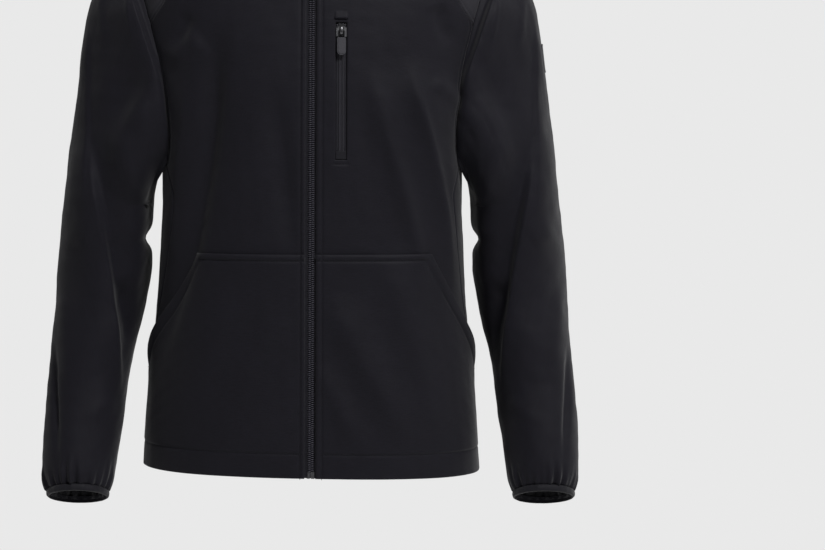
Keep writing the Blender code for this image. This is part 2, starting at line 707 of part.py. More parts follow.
def build_pockets():
    """The patch pockets, from the fronts' own columns, moved out."""
    for name, side, edge in (("left", 1, ZIP_EDGE_LEFT), ("right", -1, ZIP_EDGE_RIGHT)):
        past = np.clip((FRONT_COLUMNS - POCKET_CORNER) / (1 - POCKET_CORNER), 0, 1)
        top = POCKET_TOP + (POCKET_SIDE - POCKET_TOP) * past**0.7
        v = np.linspace(0, 1, POCKET_ROWS + 1)[:, None]
        height = HEM_ROWS[-1] + v * (top - HEM_ROWS[-1])[None, :]
        hem = np.tile(HEM_ROWS[:-1, None], (1, len(FRONT_COLUMNS)))
        height = np.concatenate([hem, height])
        v = np.concatenate([np.zeros((len(HEM_ROWS) - 1, 1)), v])
        side_at = np.interp(height, column(SIDE_SEAM, "height"), column(SIDE_SEAM, "along"))
        for _ in range(20):
            side_at = side_at + (height - along_seam(SIDE_SEAM, side_at)[1]) / 0.36
        outer_angle = along_seam(SIDE_SEAM, side_at)[0]
        u = FRONT_COLUMNS[None, :]
        angle = side * ((1 - u) * angle_at(edge, height) + u * outer_angle)
        points, normals = cloth(angle, height)
        gape = POCKET_GAPE * v**3 * ease(past)[None, :]
        low = draw_in(points + normals * (POCKET_OFF + gape)[..., None])
        wall(f"pocket_{name}", low + normals * WALL, low, CLOTH)


def strip(name, surface, tape_half, coil_from):
    """A zip's tape with its coil as one strip, laid to a surface given by the distance off its middle."""
    half = ZIP_COIL_HALF
    tape = ZIP_TAPE_THICK
    rise = tape + ZIP_COIL_RISE
    profile = (
        (-tape_half, 0),
        (tape_half, 0),
        (tape_half, tape),
        (half, tape),
        (half * 0.8, rise),
        (-half * 0.8, rise),
        (-half, tape),
        (-tape_half, tape),
    )
    lines = []
    for x, y in profile:
        points, out = surface(x)
        lines.append(points + out * (y + coil_from))
    rings = np.stack(lines, axis=1)

    def fill(shape):
        rows = [[shape.verts.new(p) for p in ring] for ring in rings]
        for low, high in zip(rows, rows[1:]):
            for j in range(len(profile)):
                k = (j + 1) % len(profile)
                shape.faces.new((low[j], low[k], high[k], high[j]))
        shape.faces.new(rows[0])
        shape.faces.new(rows[-1][::-1])

    return add_object(name, fill, ZIP)


def frame_at(point, right, out):
    """A placing whose X runs along the zip's width, Z up along it and -Y out of the cloth."""
    right = Vector(right).normalized()
    out = Vector(out)
    out = (out - right * out.dot(right)).normalized()
    up = right.cross(-out)
    turn = Matrix((right, -out, up)).transposed().to_4x4()
    return Matrix.Translation(point) @ turn


def box(shape, size, middle):
    """Adds a box of this size about its middle."""
    made = bmesh.ops.create_cube(shape, size=1.0)
    bmesh.ops.scale(shape, vec=size, verts=made["verts"])
    bmesh.ops.translate(shape, vec=middle, verts=made["verts"])
    return made["verts"]


def build_slider(name, placing, wide):
    """A slider plate with its bail, and the placing of the pull's axis above it."""
    def plate(shape):
        box(shape, (wide, PLATE_THICK, PLATE_TALL), (0, -PLATE_THICK / 2, 0))
        bmesh.ops.bevel(shape, geom=shape.edges[:], offset=0.0005, segments=1, affect="EDGES")

    def bail(shape):
        turns = [math.pi * i / 10 for i in range(11)]
        far = BAIL_HALF + BAIL_BAR
        outline = [(far * math.cos(t), -PLATE_THICK - far * math.sin(t)) for t in turns]
        outline.append((-far, -PLATE_THICK + 0.0004))
        outline.append((-BAIL_HALF, -PLATE_THICK + 0.0004))
        arc = [(BAIL_HALF * math.cos(t), -PLATE_THICK - BAIL_HALF * math.sin(t)) for t in turns]
        outline += arc[::-1]
        outline.append((BAIL_HALF, -PLATE_THICK + 0.0004))
        outline.append((far, -PLATE_THICK + 0.0004))
        sides = []
        for x in (-BAIL_WIDE / 2, BAIL_WIDE / 2):
            sides.append([shape.verts.new((x, y, z)) for z, y in outline])
        shape.faces.new(sides[0])
        shape.faces.new(sides[1][::-1])
        for j in range(len(outline)):
            k = (j + 1) % len(outline)
            shape.faces.new((sides[0][j], sides[0][k], sides[1][k], sides[1][j]))

    body = add_object(name, plate, METAL)
    loop = add_object(f"{name}_bail", bail, METAL)
    loop.hide_render = True
    loop.hide_viewport = True
    join = body.modifiers.new("bail", "BOOLEAN")
    join.operation = "UNION"
    join.solver = "EXACT"
    join.object = loop
    body.matrix_world = placing
    loop.matrix_world = placing
    return placing @ Matrix.Translation((0, -PLATE_THICK - AXIS_ABOVE_PLATE, 0))


def build_pull(name, placing):
    """A pull tab whose origin is its hinge axis, hanging down."""
    right = [(o.half_width, -o.down) for o in PULL_OUTLINE]
    outline = right + [(-x, z) for x, z in right[::-1]]

    def tab(shape):
        sides = []
        for y in (-PULL_THICK / 2, PULL_THICK / 2):
            sides.append([shape.verts.new((x, y, z)) for x, z in outline])
        shape.faces.new(sides[0])
        shape.faces.new(sides[1][::-1])
        for j in range(len(outline)):
            k = (j + 1) % len(outline)
            shape.faces.new((sides[0][j], sides[0][k], sides[1][k], sides[1][j]))

    def window(shape):
        tall = PULL_WINDOW_END - PULL_THICK / 2
        middle = -(PULL_WINDOW_END + PULL_THICK / 2) / 2
        box(shape, (2 * PULL_WINDOW_HALF, 0.01, tall), (0, 0, middle))

    body = add_object(name, tab, TAB)
    hole = add_object(f"{name}_window", window, TAB)
    hole.hide_render = True
    hole.hide_viewport = True
    cut = body.modifiers.new("window", "BOOLEAN")
    cut.operation = "DIFFERENCE"
    cut.solver = "EXACT"
    cut.object = hole
    body.matrix_world = placing
    hole.matrix_world = placing


def build_front_zip(collar):
    """The front zip behind the fronts' edges, its box at the foot, and its slider and pull at the collar."""
    _, height = front_places(1, ZIP_EDGE_LEFT)
    height = height[:, 0].copy()
    height[0] = HEM_HEIGHT + ZIP_BOX_TALL + SEAM
    stand = (collar[:, 0] + collar[:, -1]) / 2
    stand_out = unit(np.cross(np.array([1.0, 0, 0]), np.gradient(stand, axis=0)))

    def surface(offset):
        low, low_out = cloth(angle_at(offset, height), height)
        low_out[-1] = unit(low_out[-1] + stand_out[0])
        near, next_in = (0, 1) if offset > 0 else (-1, -2)
        edge = np.abs(collar[1:, near, :1])
        share = np.clip((abs(offset) - edge) / (np.abs(collar[1:, next_in, :1]) - edge), 0, 1)
        high = stand[1:] + (collar[1:, next_in] - collar[1:, near]) * share
        high[:, 0] = offset
        return np.concatenate([low, high]), np.concatenate([low_out, stand_out[1:]])

    path, out = surface(0.0)
    back = -(COLLAR_WALL + ZIP_BEHIND + ZIP_TAPE_THICK)
    strip("front_zip", surface, ZIP_TAPE_HALF, back)
    foot = HEM_HEIGHT + ZIP_BOX_TALL / 2
    foot_point, foot_out = cloth(np.zeros(1), np.array([foot]))

    def stop(shape):
        box(shape, (ZIP_BOX_WIDE, 0.0032, ZIP_BOX_TALL), (ZIP_BOX_X, 0.0006, 0))
        bmesh.ops.bevel(shape, geom=shape.edges[:], offset=0.0006, segments=1, affect="EDGES")

    end = add_object("zip_box", stop, METAL)
    end.matrix_world = frame_at(foot_point[0], (1, 0, 0), foot_out[0])
    coil_top = back + ZIP_TAPE_THICK + ZIP_COIL_RISE + SEAM
    at = -2
    placing = frame_at(path[at] + out[at] * coil_top, (1, 0, 0), out[at])
    build_pull("main_pull", build_slider("main_slider", placing, MAIN_PLATE_WIDE))


def build_chest_pocket():
    """The chest pocket: a slot in the left front, its zip behind, the garage flap, slider and pull."""
    height = np.linspace(CHEST_BOTTOM + 0.0008, CHEST_TOP - 0.0008, 13)

    def surface(offset):
        return cloth(angle_at(CHEST_X + offset, height), height)

    path, out = surface(0.0)
    sideways = unit(surface(0.005)[0] - surface(-0.005)[0])
    back = -(WALL + ZIP_BEHIND + ZIP_TAPE_THICK)
    strip("chest_zip", surface, CHEST_SLOT_HALF + 0.003, back)
    mid = len(path) // 2
    slot_tall = CHEST_TOP - CHEST_BOTTOM

    def slot(shape):
        box(shape, (2 * CHEST_SLOT_HALF, 0.03, slot_tall), (0, 0, 0))

    cutter = add_object("chest_slot", slot, ZIP)
    cutter.hide_render = True
    cutter.hide_viewport = True
    middle = path[mid].copy()
    middle[2] = (CHEST_TOP + CHEST_BOTTOM) / 2
    cutter.matrix_world = frame_at(middle, sideways[mid], out[mid])
    cut = bpy.data.objects["front_left"].modifiers.new("slot", "BOOLEAN")
    cut.operation = "DIFFERENCE"
    cut.solver = "EXACT"
    cut.object = cutter

    rows = np.linspace(CHEST_TOP + 0.0004, CHEST_TOP + GARAGE_TALL, 3)[:, None]
    across = np.linspace(-GARAGE_WIDE / 2, GARAGE_WIDE / 2, 4)[None, :]
    flap, flap_out = cloth(angle_at(CHEST_X + across + 0 * rows, rows + 0 * across), rows + 0 * across)
    low = flap + flap_out * 0.0006
    wall("chest_garage", low + flap_out * GARAGE_THICK, low, CLOTH)

    at_height = np.array([CHEST_SLIDER_HEIGHT])
    point, direction = cloth(angle_at(CHEST_X, at_height), at_height)
    near = int(np.argmin(np.abs(height - CHEST_SLIDER_HEIGHT)))
    coil_top = back + ZIP_TAPE_THICK + ZIP_COIL_RISE + SEAM
    placing = frame_at(point[0] + direction[0] * coil_top, sideways[near], direction[0])
    build_pull("chest_pull", build_slider("chest_slider", placing, CHEST_PLATE_WIDE))


def main():
    """Clears the scene and builds the jacket."""
    for obj in list(bpy.data.objects):
        bpy.data.objects.remove(obj, do_unlink=True)
    build_torso()
    build_sleeve("left", 1)
    build_sleeve("right", -1)
    build_patch()
    collar = build_collar()
    build_pockets()
    build_front_zip(collar)
    build_chest_pocket()


main()
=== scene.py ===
"""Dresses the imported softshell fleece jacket: folded and sewn cloth, zips, finishes, camera and light.

Metres, +Z up, +X towards the wearer's left, -Y the front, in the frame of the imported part.
"""

import json
import logging
import math
from dataclasses import dataclass, field
from enum import Enum
from typing import Callable, NamedTuple, Optional, Sequence

import bmesh
import bpy
import numpy as np
from mathutils import Matrix, Quaternion, Vector


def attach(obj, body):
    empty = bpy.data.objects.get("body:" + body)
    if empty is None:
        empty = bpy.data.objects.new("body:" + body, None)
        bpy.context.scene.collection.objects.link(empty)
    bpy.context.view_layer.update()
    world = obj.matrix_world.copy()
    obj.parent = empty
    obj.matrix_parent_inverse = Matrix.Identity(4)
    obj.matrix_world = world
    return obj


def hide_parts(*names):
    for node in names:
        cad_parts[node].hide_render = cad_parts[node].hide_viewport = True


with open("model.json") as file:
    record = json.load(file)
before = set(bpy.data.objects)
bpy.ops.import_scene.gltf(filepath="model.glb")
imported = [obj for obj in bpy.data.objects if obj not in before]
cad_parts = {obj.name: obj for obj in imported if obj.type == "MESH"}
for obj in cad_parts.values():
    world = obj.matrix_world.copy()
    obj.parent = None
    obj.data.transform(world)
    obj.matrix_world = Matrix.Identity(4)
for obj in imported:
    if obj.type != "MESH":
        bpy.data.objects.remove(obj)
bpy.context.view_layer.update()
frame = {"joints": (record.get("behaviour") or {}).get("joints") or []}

LOG = logging.getLogger("jacket")
JACKET = "jacket"

Array = np.ndarray
Surface = tuple[Array, Array]
Pair = tuple[float, float]
Triple = tuple[float, float, float]
Object = bpy.types.Object
Node = bpy.types.Node
Socket = bpy.types.NodeSocket
Shape = bmesh.types.BMesh

# Cloth
WALL = 0.0020
COLLAR_WALL = 0.0026
SEAM = 0.0003
VISIBLE_SEAM = 0.00005
TURN_RADIUS = 0.0018
TURN_DEPTH = 0.0009
SEAM_RADIUS = 0.0036
SEAM_DEPTH = 0.0011
SEAM_LIFT = 0.0006
SEAM_LIFT_RUN = 0.006
WELT_RISE = 0.0009
WELT_CURVE = 0.8
TUCK_DEEP = 0.0042
TUCK_UNDER = 0.0012
CLOTH_STEP = 0.0034
EDGE_STEP = 0.0004
STEP_GROWTH = 0.30
FADE_IN = 0.26
FADE_OUT = 0.45
FACING_GAIN = 1.6
HILL_WAVES = 8

# Centre front: each zip edge from the middle, and its topstitching from that edge
ZIP_EDGE_LEFT = 0.0050
ZIP_EDGE_RIGHT = 0.0072
TOPSTITCH_LEFT = 0.0072
TOPSTITCH_RIGHT = 0.0050

# Places where the panels meet, as angles round the armhole and steps up it
UNDER_ARM = 162.0
YOKE_END = 63.0
FRONT_ARM_STEPS = 11
BACK_ARM_STEPS = 15
YOKE_STEPS = 7
CENTRE_AT_YOKE = -0.190
BACK_AT_YOKE = -0.120
SIDE_SEAM_TALL = 0.36
SEAM_SEARCH = 20


class Side(Enum):
    """The wearer's sides, each with the sign of X there."""

    LEFT = 1
    RIGHT = -1

    @property
    def word(self) -> str:
        """The side's word in a piece's name."""
        return self.name.lower()

    @property
    def turn(self) -> Array:
        """Factors that carry a point between the wearer's left and this side."""
        return np.array([self.value, 1.0, 1.0])

    @property
    def zip_edge(self) -> float:
        """How far this front's zip edge is from the middle."""
        return ZIP_EDGE_LEFT if self is Side.LEFT else ZIP_EDGE_RIGHT

    @property
    def topstitch(self) -> float:
        """How far this front's topstitching is from its zip edge."""
        return TOPSTITCH_LEFT if self is Side.LEFT else TOPSTITCH_RIGHT


class Edge(Enum):
    """How an edge of a cut piece is worked."""

    TURNED = "folded under and pressed round"
    SEWN = "drawn down into a seam"
    RAW = "left as cut"


TURNED, SEWN, RAW = Edge


class Held(Enum):
    """How a cut piece is held in the finished jacket."""

    HUNG = "hung"
    GATHERED = "gathered"
    STRETCHED = "stretched"
    LAID = "laid"


class Section(NamedTuple):
    """One level of the torso: half width, depth to the front and to the back, and how square it is."""

    height: float
    half_width: float
    front: float
    back: float
    square: float


TORSO = (
    Section(-0.68, 0.1955, 0.14, 0.136, 2.5),
    Section(-0.62, 0.1908, 0.139, 0.134, 2.5),
    Section(-0.56, 0.186, 0.137, 0.13, 2.5),
    Section(-0.49, 0.1808, 0.136, 0.122, 2.5),
    Section(-0.43, 0.1775, 0.136, 0.115, 2.5),
    Section(-0.365, 0.1748, 0.136, 0.112, 2.5),
    Section(-0.31, 0.175, 0.137, 0.116, 2.5),
    Section(-0.25, 0.187, 0.136, 0.122, 2.5),
    Section(-0.2, 0.199, 0.132, 0.126, 2.4),
    Section(-0.15, 0.207, 0.125, 0.126, 2.4),
    Section(-0.11, 0.211, 0.116, 0.122, 2.3),
    Section(-0.08, 0.21, 0.105, 0.116, 2.2),
    Section(-0.06, 0.203, 0.092, 0.11, 2.2),
    Section(-0.045, 0.178, 0.079, 0.104, 2.1),
    Section(-0.03, 0.145, 0.066, 0.096, 2.0),
    Section(-0.015, 0.112, 0.054, 0.088, 2.0),
    Section(0.0, 0.085, 0.046, 0.08, 2.0),
    Section(0.012, 0.072, 0.042, 0.075, 2.0),
)


class Knot(NamedTuple):
    """A point of a seam on the torso: how far along the seam, the angle from the front, the height."""

    along: float
    angle: float
    height: float


SIDE_SEAM = (
    Knot(0.0, 85.0, -0.68),
    Knot(0.2, 83.0, -0.61),
    Knot(0.4, 79.0, -0.54),
    Knot(0.6, 68.5, -0.47),
    Knot(0.78, 60.0, -0.41),
    Knot(0.9, 56.5, -0.362),
    Knot(1.0, 66.0, -0.326),
)
# Along is the angle round the sleeve: 0 at the shoulder tip, 90 in front, 180 under the arm.
ARMHOLE = (
    Knot(0.0, 90.0, -0.06),
    Knot(32.0, 74.0, -0.084),
    Knot(63.0, 59.5, -0.165),
    Knot(90.0, 57.0, -0.225),
    Knot(115.0, 59.0, -0.272),
    Knot(140.0, 62.5, -0.309),
    Knot(162.0, 66.0, -0.326),
    Knot(180.0, 83.0, -0.3245),
    Knot(205.0, 101.0, -0.312),
    Knot(235.0, 112.5, -0.262),
    Knot(265.0, 115.5, -0.205),
    Knot(297.0, 114.0, -0.14),
    Knot(330.0, 104.0, -0.084),
    Knot(360.0, 90.0, -0.06),
)
YOKE_FRONT = (
    Knot(0.0, 59.5, -0.165),
    Knot(0.2, 50.0, -0.14),
    Knot(0.45, 43.5, -0.1),
    Knot(0.72, 41.0, -0.052),
    Knot(1.0, 44.0, -0.0148),
)
YOKE_BACK = (
    Knot(0.0, 114.0, -0.14),
    Knot(0.5, 127.0, -0.075),
    Knot(1.0, 138.0, 0.006),
)
NECKLINE = (
    Knot(0.0, 0.0, -0.085),
    Knot(14.5, 14.5, -0.06),
    Knot(27.0, 27.0, -0.0345),
    Knot(44.0, 44.0, -0.0148),
    Knot(65.0, 65.0, -0.002),
    Knot(90.0, 90.0, 0.002),
    Knot(138.0, 138.0, 0.006),
    Knot(180.0, 180.0, 0.008),
)


class Fold(NamedTuple):
    """A soft ridge or, with a negative rise, a trough, drawn as seen square on from front or back.

    Crisp below 2 sharpens its crest, and skew widens the +X side of one drawn downwards.
    """

    x0: float
    z0: float
    x1: float
    z1: float
    bow: float
    half_width: float
    rise: float
    crisp: float = 2.0
    skew: float = 1.0


FRONT_FOLDS = (
    Fold(0.1085, -0.195, 0.168, -0.5, 0.001, 0.0165, 0.0105, 1.7, 2.2),
    Fold(0.062, -0.2, 0.134, -0.485, 0.002, 0.015, 0.0066, 1.8, 1.1),
    Fold(0.134, -0.226, 0.176, -0.262, 0.001, 0.0085, 0.0036),
    Fold(0.143, -0.14, 0.163, -0.197, -0.003, 0.01, -0.0045),
    Fold(0.018, -0.462, 0.128, -0.665, -0.005, 0.017, 0.0062, 1.8, 1.3),
    Fold(0.083, -0.41, 0.159, -0.665, -0.003, 0.018, 0.0062, 1.8, 1.6),
    Fold(0.003, -0.54, 0.069, -0.672, 0.0, 0.012, 0.0036, 2.0, 1.2),
    Fold(-0.105, -0.15, -0.19, -0.6, 0.0178, 0.013, -0.0095, 2.0, 0.8),
    Fold(-0.102, -0.15, -0.187, -0.6, 0.0178, 0.026, -0.003, 2.0, 1.0),
    Fold(-0.044, -0.225, -0.019, -0.455, 0.002, 0.016, -0.0036, 2.0, 0.6),
    Fold(-0.14, -0.215, -0.176, -0.49, 0.004, 0.016, 0.004, 1.6, 1.3),
    Fold(-0.122, -0.18, -0.168, -0.214, -0.002, 0.016, 0.004),
    Fold(-0.04, -0.47, -0.098, -0.62, 0.004, 0.02, 0.0012),
    Fold(-0.09, -0.45, -0.15, -0.62, 0.004, 0.02, 0.0022),
    Fold(0.109, -0.205, 0.1675, -0.49, 0.001, 0.005, 0.0042, 1.7, 1.1),
    Fold(0.074, -0.26, 0.132, -0.47, 0.002, 0.007, 0.0022, 1.8, 1.1),
    Fold(-0.14, -0.15, -0.162, -0.2, 0.003, 0.009, -0.0045),
    Fold(-0.142, -0.222, -0.172, -0.45, 0.004, 0.006, 0.0014, 1.6),
)
BACK_FOLDS = (
    Fold(0.15, -0.23, 0.06, -0.42, 0.008, 0.02, 0.006),
    Fold(0.13, -0.21, 0.05, -0.33, 0.006, 0.018, -0.0045),
    Fold(-0.152, -0.235, -0.075, -0.44, -0.006, 0.02, 0.0055),
    Fold(-0.128, -0.205, -0.04, -0.345, -0.006, 0.018, -0.0045),
    Fold(-0.12, -0.395, 0.11, -0.405, 0.012, 0.02, -0.005),
    Fold(-0.1, -0.435, 0.125, -0.445, 0.01, 0.02, 0.005),
    Fold(0.07, -0.48, 0.12, -0.64, 0.004, 0.022, 0.0035),
    Fold(-0.06, -0.5, -0.1, -0.65, 0.004, 0.022, -0.0035),
    Fold(0.152, -0.236, 0.072, -0.4, 0.008, 0.007, 0.0018, 1.5),
    Fold(-0.15, -0.242, -0.086, -0.416, -0.006, 0.008, 0.0016, 1.5),
    Fold(0.156, -0.18, 0.12, -0.24, 0.004, 0.009, -0.0026),
    Fold(-0.158, -0.186, -0.116, -0.236, -0.004, 0.01, -0.0024),
    Fold(-0.098, -0.418, 0.06, -0.424, 0.01, 0.008, 0.0018, 1.6),
    Fold(0.01, -0.385, 0.14, -0.372, -0.006, 0.01, -0.0018),
    Fold(0.092, -0.5, 0.116, -0.61, 0.003, 0.011, 0.0012),
    Fold(-0.14, -0.47, -0.15, -0.61, 0.004, 0.012, 0.0016),
)
SLEEVE_FRONT_FOLDS = (
    Fold(0.2596, -0.15, 0.2565, -0.4, 0.001, 0.0028, 0.0034, 2.0, 5.0),
    Fold(0.261, -0.28, 0.2195, -0.63, -0.0048, 0.0046, 0.011, 2.0, 8.0),
    Fold(0.219, -0.255, 0.19, -0.475, 0.004, 0.015, 0.01, 2.0, 1.3),
    Fold(0.214, -0.385, 0.203, -0.5, -0.002, 0.012, 0.004),
    Fold(0.25, -0.416, 0.283, -0.398, 0.0, 0.012, 0.0022, 2.0, 1.6),
    Fold(0.215, -0.5, 0.28, -0.56, 0.006, 0.016, 0.0012),
    Fold(0.222, -0.56, 0.276, -0.6, 0.004, 0.015, -0.001),
)
SLEEVE_FRONT_CREASES = (
    Fold(0.2135, -0.117, 0.167, -0.25, 0.0, 0.0034, 0.01, 2.0, 8.0),
    Fold(0.192, -0.235, 0.199, -0.4, 0.0, 0.014, 0.0075, 2.0, 1.5),
    Fold(0.211, -0.122, 0.2015, -0.198, 0.001, 0.0024, 0.0012),
    Fold(0.245, -0.125, 0.238, -0.198, 0.001, 0.0045, 0.0016),
    Fold(0.223, -0.455, 0.202, -0.565, 0.0, 0.009, -0.0085),
    Fold(0.292, -0.462, 0.279, -0.598, -0.003, 0.01, 0.0028),
    Fold(0.3, -0.525, 0.289, -0.68, 0.002, 0.0045, -0.005),
    Fold(0.226, -0.596, 0.262, -0.626, 0.002, 0.008, 0.0014),
)
SLEEVE_BACK_FOLDS = (
    Fold(0.2, -0.25, 0.262, -0.38, 0.008, 0.018, 0.0055),
    Fold(0.205, -0.33, 0.268, -0.44, 0.006, 0.016, -0.005),
    Fold(0.21, -0.43, 0.272, -0.47, 0.006, 0.016, 0.0055),
    Fold(0.215, -0.49, 0.276, -0.51, 0.004, 0.015, -0.0045),
    Fold(0.225, -0.55, 0.284, -0.6, 0.006, 0.016, 0.004),
)
SLEEVE_BACK_CREASES = (
    Fold(0.204, -0.26, 0.256, -0.372, 0.008, 0.007, 0.0018, 1.5),
    Fold(0.206, -0.156, 0.182, -0.224, -0.003, 0.008, -0.004),
    Fold(0.208, -0.424, 0.27, -0.462, 0.006, 0.007, 0.002, 1.6),
    Fold(0.212, -0.4, 0.25, -0.408, 0.003, 0.008, -0.0026),
    Fold(0.232, -0.57, 0.278, -0.598, 0.004, 0.008, 0.0014),
)


class ArmRing(NamedTuple):
    """One ring of the sleeve: its centre, its half width seen from the front and its half depth."""

    x: float
    y: float
    z: float
    half_width: float
    half_depth: float


ARM = (
    ArmRing(0.2386, 0.012, -0.37, 0.0521, 0.07),
    ArmRing(0.243, 0.015, -0.4285, 0.0545, 0.068),
    ArmRing(0.2475, 0.008, -0.487, 0.053, 0.062),
    ArmRing(0.2553, -0.008, -0.5455, 0.0492, 0.057),
    ArmRing(0.2624, -0.027, -0.604, 0.0463, 0.052),
    ArmRing(0.267, -0.043, -0.651, 0.0446, 0.049),
    ArmRing(0.2694, -0.056, -0.688, 0.0408, 0.045),
    ArmRing(0.2695, -0.061, -0.703, 0.0354, 0.0392),
)


class Dent(NamedTuple):
    """A soft bump or hollow on a sleeve, at an angle round it in degrees and a height."""

    alpha: float
    height: float
    half_alpha: float
    half_height: float
    rise: float


SLEEVE_DENTS = (
    Dent(0.0, -0.14, 60.0, 0.045, 0.006),
    Dent(5.0, -0.265, 45.0, 0.05, -0.0026),
    Dent(5.0, -0.34, 45.0, 0.02, -0.0012),
    Dent(185.0, -0.414, 40.0, 0.01, -0.0085),
    Dent(185.0, -0.455, 40.0, 0.02, 0.002),
    Dent(185.0, -0.56, 50.0, 0.045, -0.0022),
)


# The lower pocket's hand edge at even steps to the side seam, as shares of its drop
HAND_EDGE = (0.0, 0.379, 0.616, 0.818, 1.0)


class Cut(NamedTuple):
    """A cut piece laid flat: the width and length of the cloth it comes out of, and its own area."""

    width: float
    length: float
    area: float


def smooth(knots: Array, values: Array, at: Array) -> Array:
    """A smooth curve through a table's points that never overshoots them.

    Args:
        knots: Places along the curve, rising.
        values: The curve's values there.
        at: Places to read the curve at.

    Returns:
        The curve's values at those places.
    """
    step = np.diff(knots)
    rise = np.diff(values) / step
    slope = np.zeros_like(values)
    slope[0] = rise[0]
    slope[-1] = rise[-1]
    turning = rise[:-1] * rise[1:] <= 0
    total = np.where(turning, 1.0, rise[:-1] + rise[1:])
    slope[1:-1] = np.where(turning, 0.0, 2 * rise[:-1] * rise[1:] / total)
    place = np.clip(np.searchsorted(knots, at, side="right") - 1, 0, len(step) - 1)
    t = np.clip((at - knots[place]) / step[place], 0, 1)
    h = step[place]
    start = (1 + 2 * t) * (1 - t) ** 2 * values[place] + t * (1 - t) ** 2 * h * slope[place]
    end = t * t * (3 - 2 * t) * values[place + 1] + t * t * (t - 1) * h * slope[place + 1]
    return start + end


def column(table: Sequence[NamedTuple], name: str) -> Array:
    """One named column of a table, as numbers."""
    return np.array([getattr(row, name) for row in table], float)


def along_seam(seam: Sequence[Knot], at: Array) -> Surface:
    """Angles in radians and heights at these places along a seam."""
    at = np.asarray(at, float)
    angle = smooth(column(seam, "along"), np.radians(column(seam, "angle")), at)
    return angle, smooth(column(seam, "along"), column(seam, "height"), at)


def ease(value: Array) -> Array:
    """0 to 1 with level ends."""
    t = np.clip(value, 0, 1)
    return t * t * (3 - 2 * t)


def run_along(points: Array) -> Array:
    """Distances along a line of points from its start."""
    return np.concatenate([[0], np.cumsum(np.linalg.norm(np.diff(points, axis=0), axis=1))])


def unit(vectors: Array) -> Array:
    """The vectors at length one."""
    return vectors / np.linalg.norm(vectors, axis=-1, keepdims=True)


def hump(distance: Array, half_width: float) -> Array:
    """A soft bump of height 1 about distance 0."""
    return np.exp(-((distance / half_width) ** 2))


def side_seam_angle(height: Array) -> Array:
    """The angle of the side seam at these heights, closed in on step by step.

    Args:
        height: Heights under the armhole.

    Returns:
        Angles in radians.
    """
    at = np.interp(height, column(SIDE_SEAM, "height"), column(SIDE_SEAM, "along"))
    for _ in range(SEAM_SEARCH):
        at = at + (height - along_seam(SIDE_SEAM, at)[1]) / SIDE_SEAM_TALL
    return along_seam(SIDE_SEAM, at)[0]


def spread(length: float, step: float = CLOTH_STEP, close: Sequence[float] = ()) -> Array:
    """Places along a run of cloth, closer together at its edges and at lines of sewing.

    Args:
        length: The run in metres.
        step: The widest step.
        close: Distances from the start of the lines of sewing.

    Returns:
        Places from 0 to 1.
    """
    places = [0.0]
    while places[-1] < length:
        at = places[-1]
        near = min([at, length - at, *(abs(at - c) for c in close)])
        places.append(at + min(step, EDGE_STEP + STEP_GROWTH * max(near, 0)))
    return np.array(places) / places[-1]


def unevenness(points: Array, wavelength: float, seed: int) -> Array:
    """Soft random hills of about -1 to 1 over points, from a few waves of random direction.

    Args:
        points: Points in metres.
        wavelength: The usual distance between hills.
        seed: Fixes the waves.

    Returns:
        One number for each point.
    """
    draw = np.random.default_rng(seed)
    total = np.zeros(points.shape[:-1])
    for _ in range(HILL_WAVES):
        direction = unit(draw.normal(size=3)) * 2 * math.pi / (wavelength * draw.uniform(0.7, 1.5))
        total += np.sin(points @ direction + draw.uniform(0, 2 * math.pi))
    return total / math.sqrt(HILL_WAVES)


def relief(points: Array, normals: Array, front: Sequence[Fold], back: Sequence[Fold]) -> Array:
    """How far folds lift each point, fading at a fold's ends and where the cloth turns away.

    Args:
        points: Points of the cloth without folds.
        normals: Outward directions there.
        front: Folds drawn on what faces the front.
        back: Folds drawn on what faces the back.

    Returns:
        The lift of each point.
    """
    lift = np.zeros(points.shape[:-1])
    for facing, folds in ((-1, front), (1, back)):
        seen = ease(facing * normals[..., 1] * FACING_GAIN)
        for fold in folds:
            run = np.array([fold.x1 - fold.x0, fold.z1 - fold.z0])
            length = np.hypot(*run)
            run = run / length
            from_start = points[..., [0, 2]] - np.array([fold.x0, fold.z0])
            t = np.clip(from_start @ run / length, 0, 1)
            across = from_start @ np.array([-run[1], run[0]]) - fold.bow * 4 * t * (1 - t)
            half_width = fold.half_width * np.where(across > 0, fold.skew, 1.0)
            shape = np.exp(-(np.abs(across / half_width) ** fold.crisp))
            lift += fold.rise * shape * ease(t / FADE_IN) * ease((1 - t) / FADE_OUT) * seen
    return lift


def grid_normals(grid: Array, closed: bool = False) -> Array:
    """Directions square to a grid of points, columns running across rows.

    Args:
        grid: Points in rows and columns.
        closed: Whether each row runs round to its start.

    Returns:
        One direction for each point.
    """
    if closed:
        across = np.roll(grid, -1, axis=1) - np.roll(grid, 1, axis=1)
    else:
        across = np.gradient(grid, axis=1)
    return unit(np.cross(across, np.gradient(grid, axis=0)))


def edge_runs(grid: Array) -> tuple[Array, Array, Array, Array]:
    """Distances over the cloth from the first column, the last column, the first row and the last row."""
    across = np.linalg.norm(np.diff(grid, axis=1), axis=-1)
    along = np.linalg.norm(np.diff(grid, axis=0), axis=-1)
    u = np.pad(np.cumsum(across, axis=1), ((0, 0), (1, 0)))
    v = np.pad(np.cumsum(along, axis=0), ((1, 0), (0, 0)))
    return u, u[:, -1:] - u, v, v[-1:] - v


def quarter_round(distance: Array, radius: float) -> Array:
    """The drop of a rounded edge as a share: 1 at the edge, 0 from the radius on."""
    share = np.clip(1 - distance / radius, 0, 1)
    return 1 - np.sqrt(np.clip(1 - share * share, 0, 1))


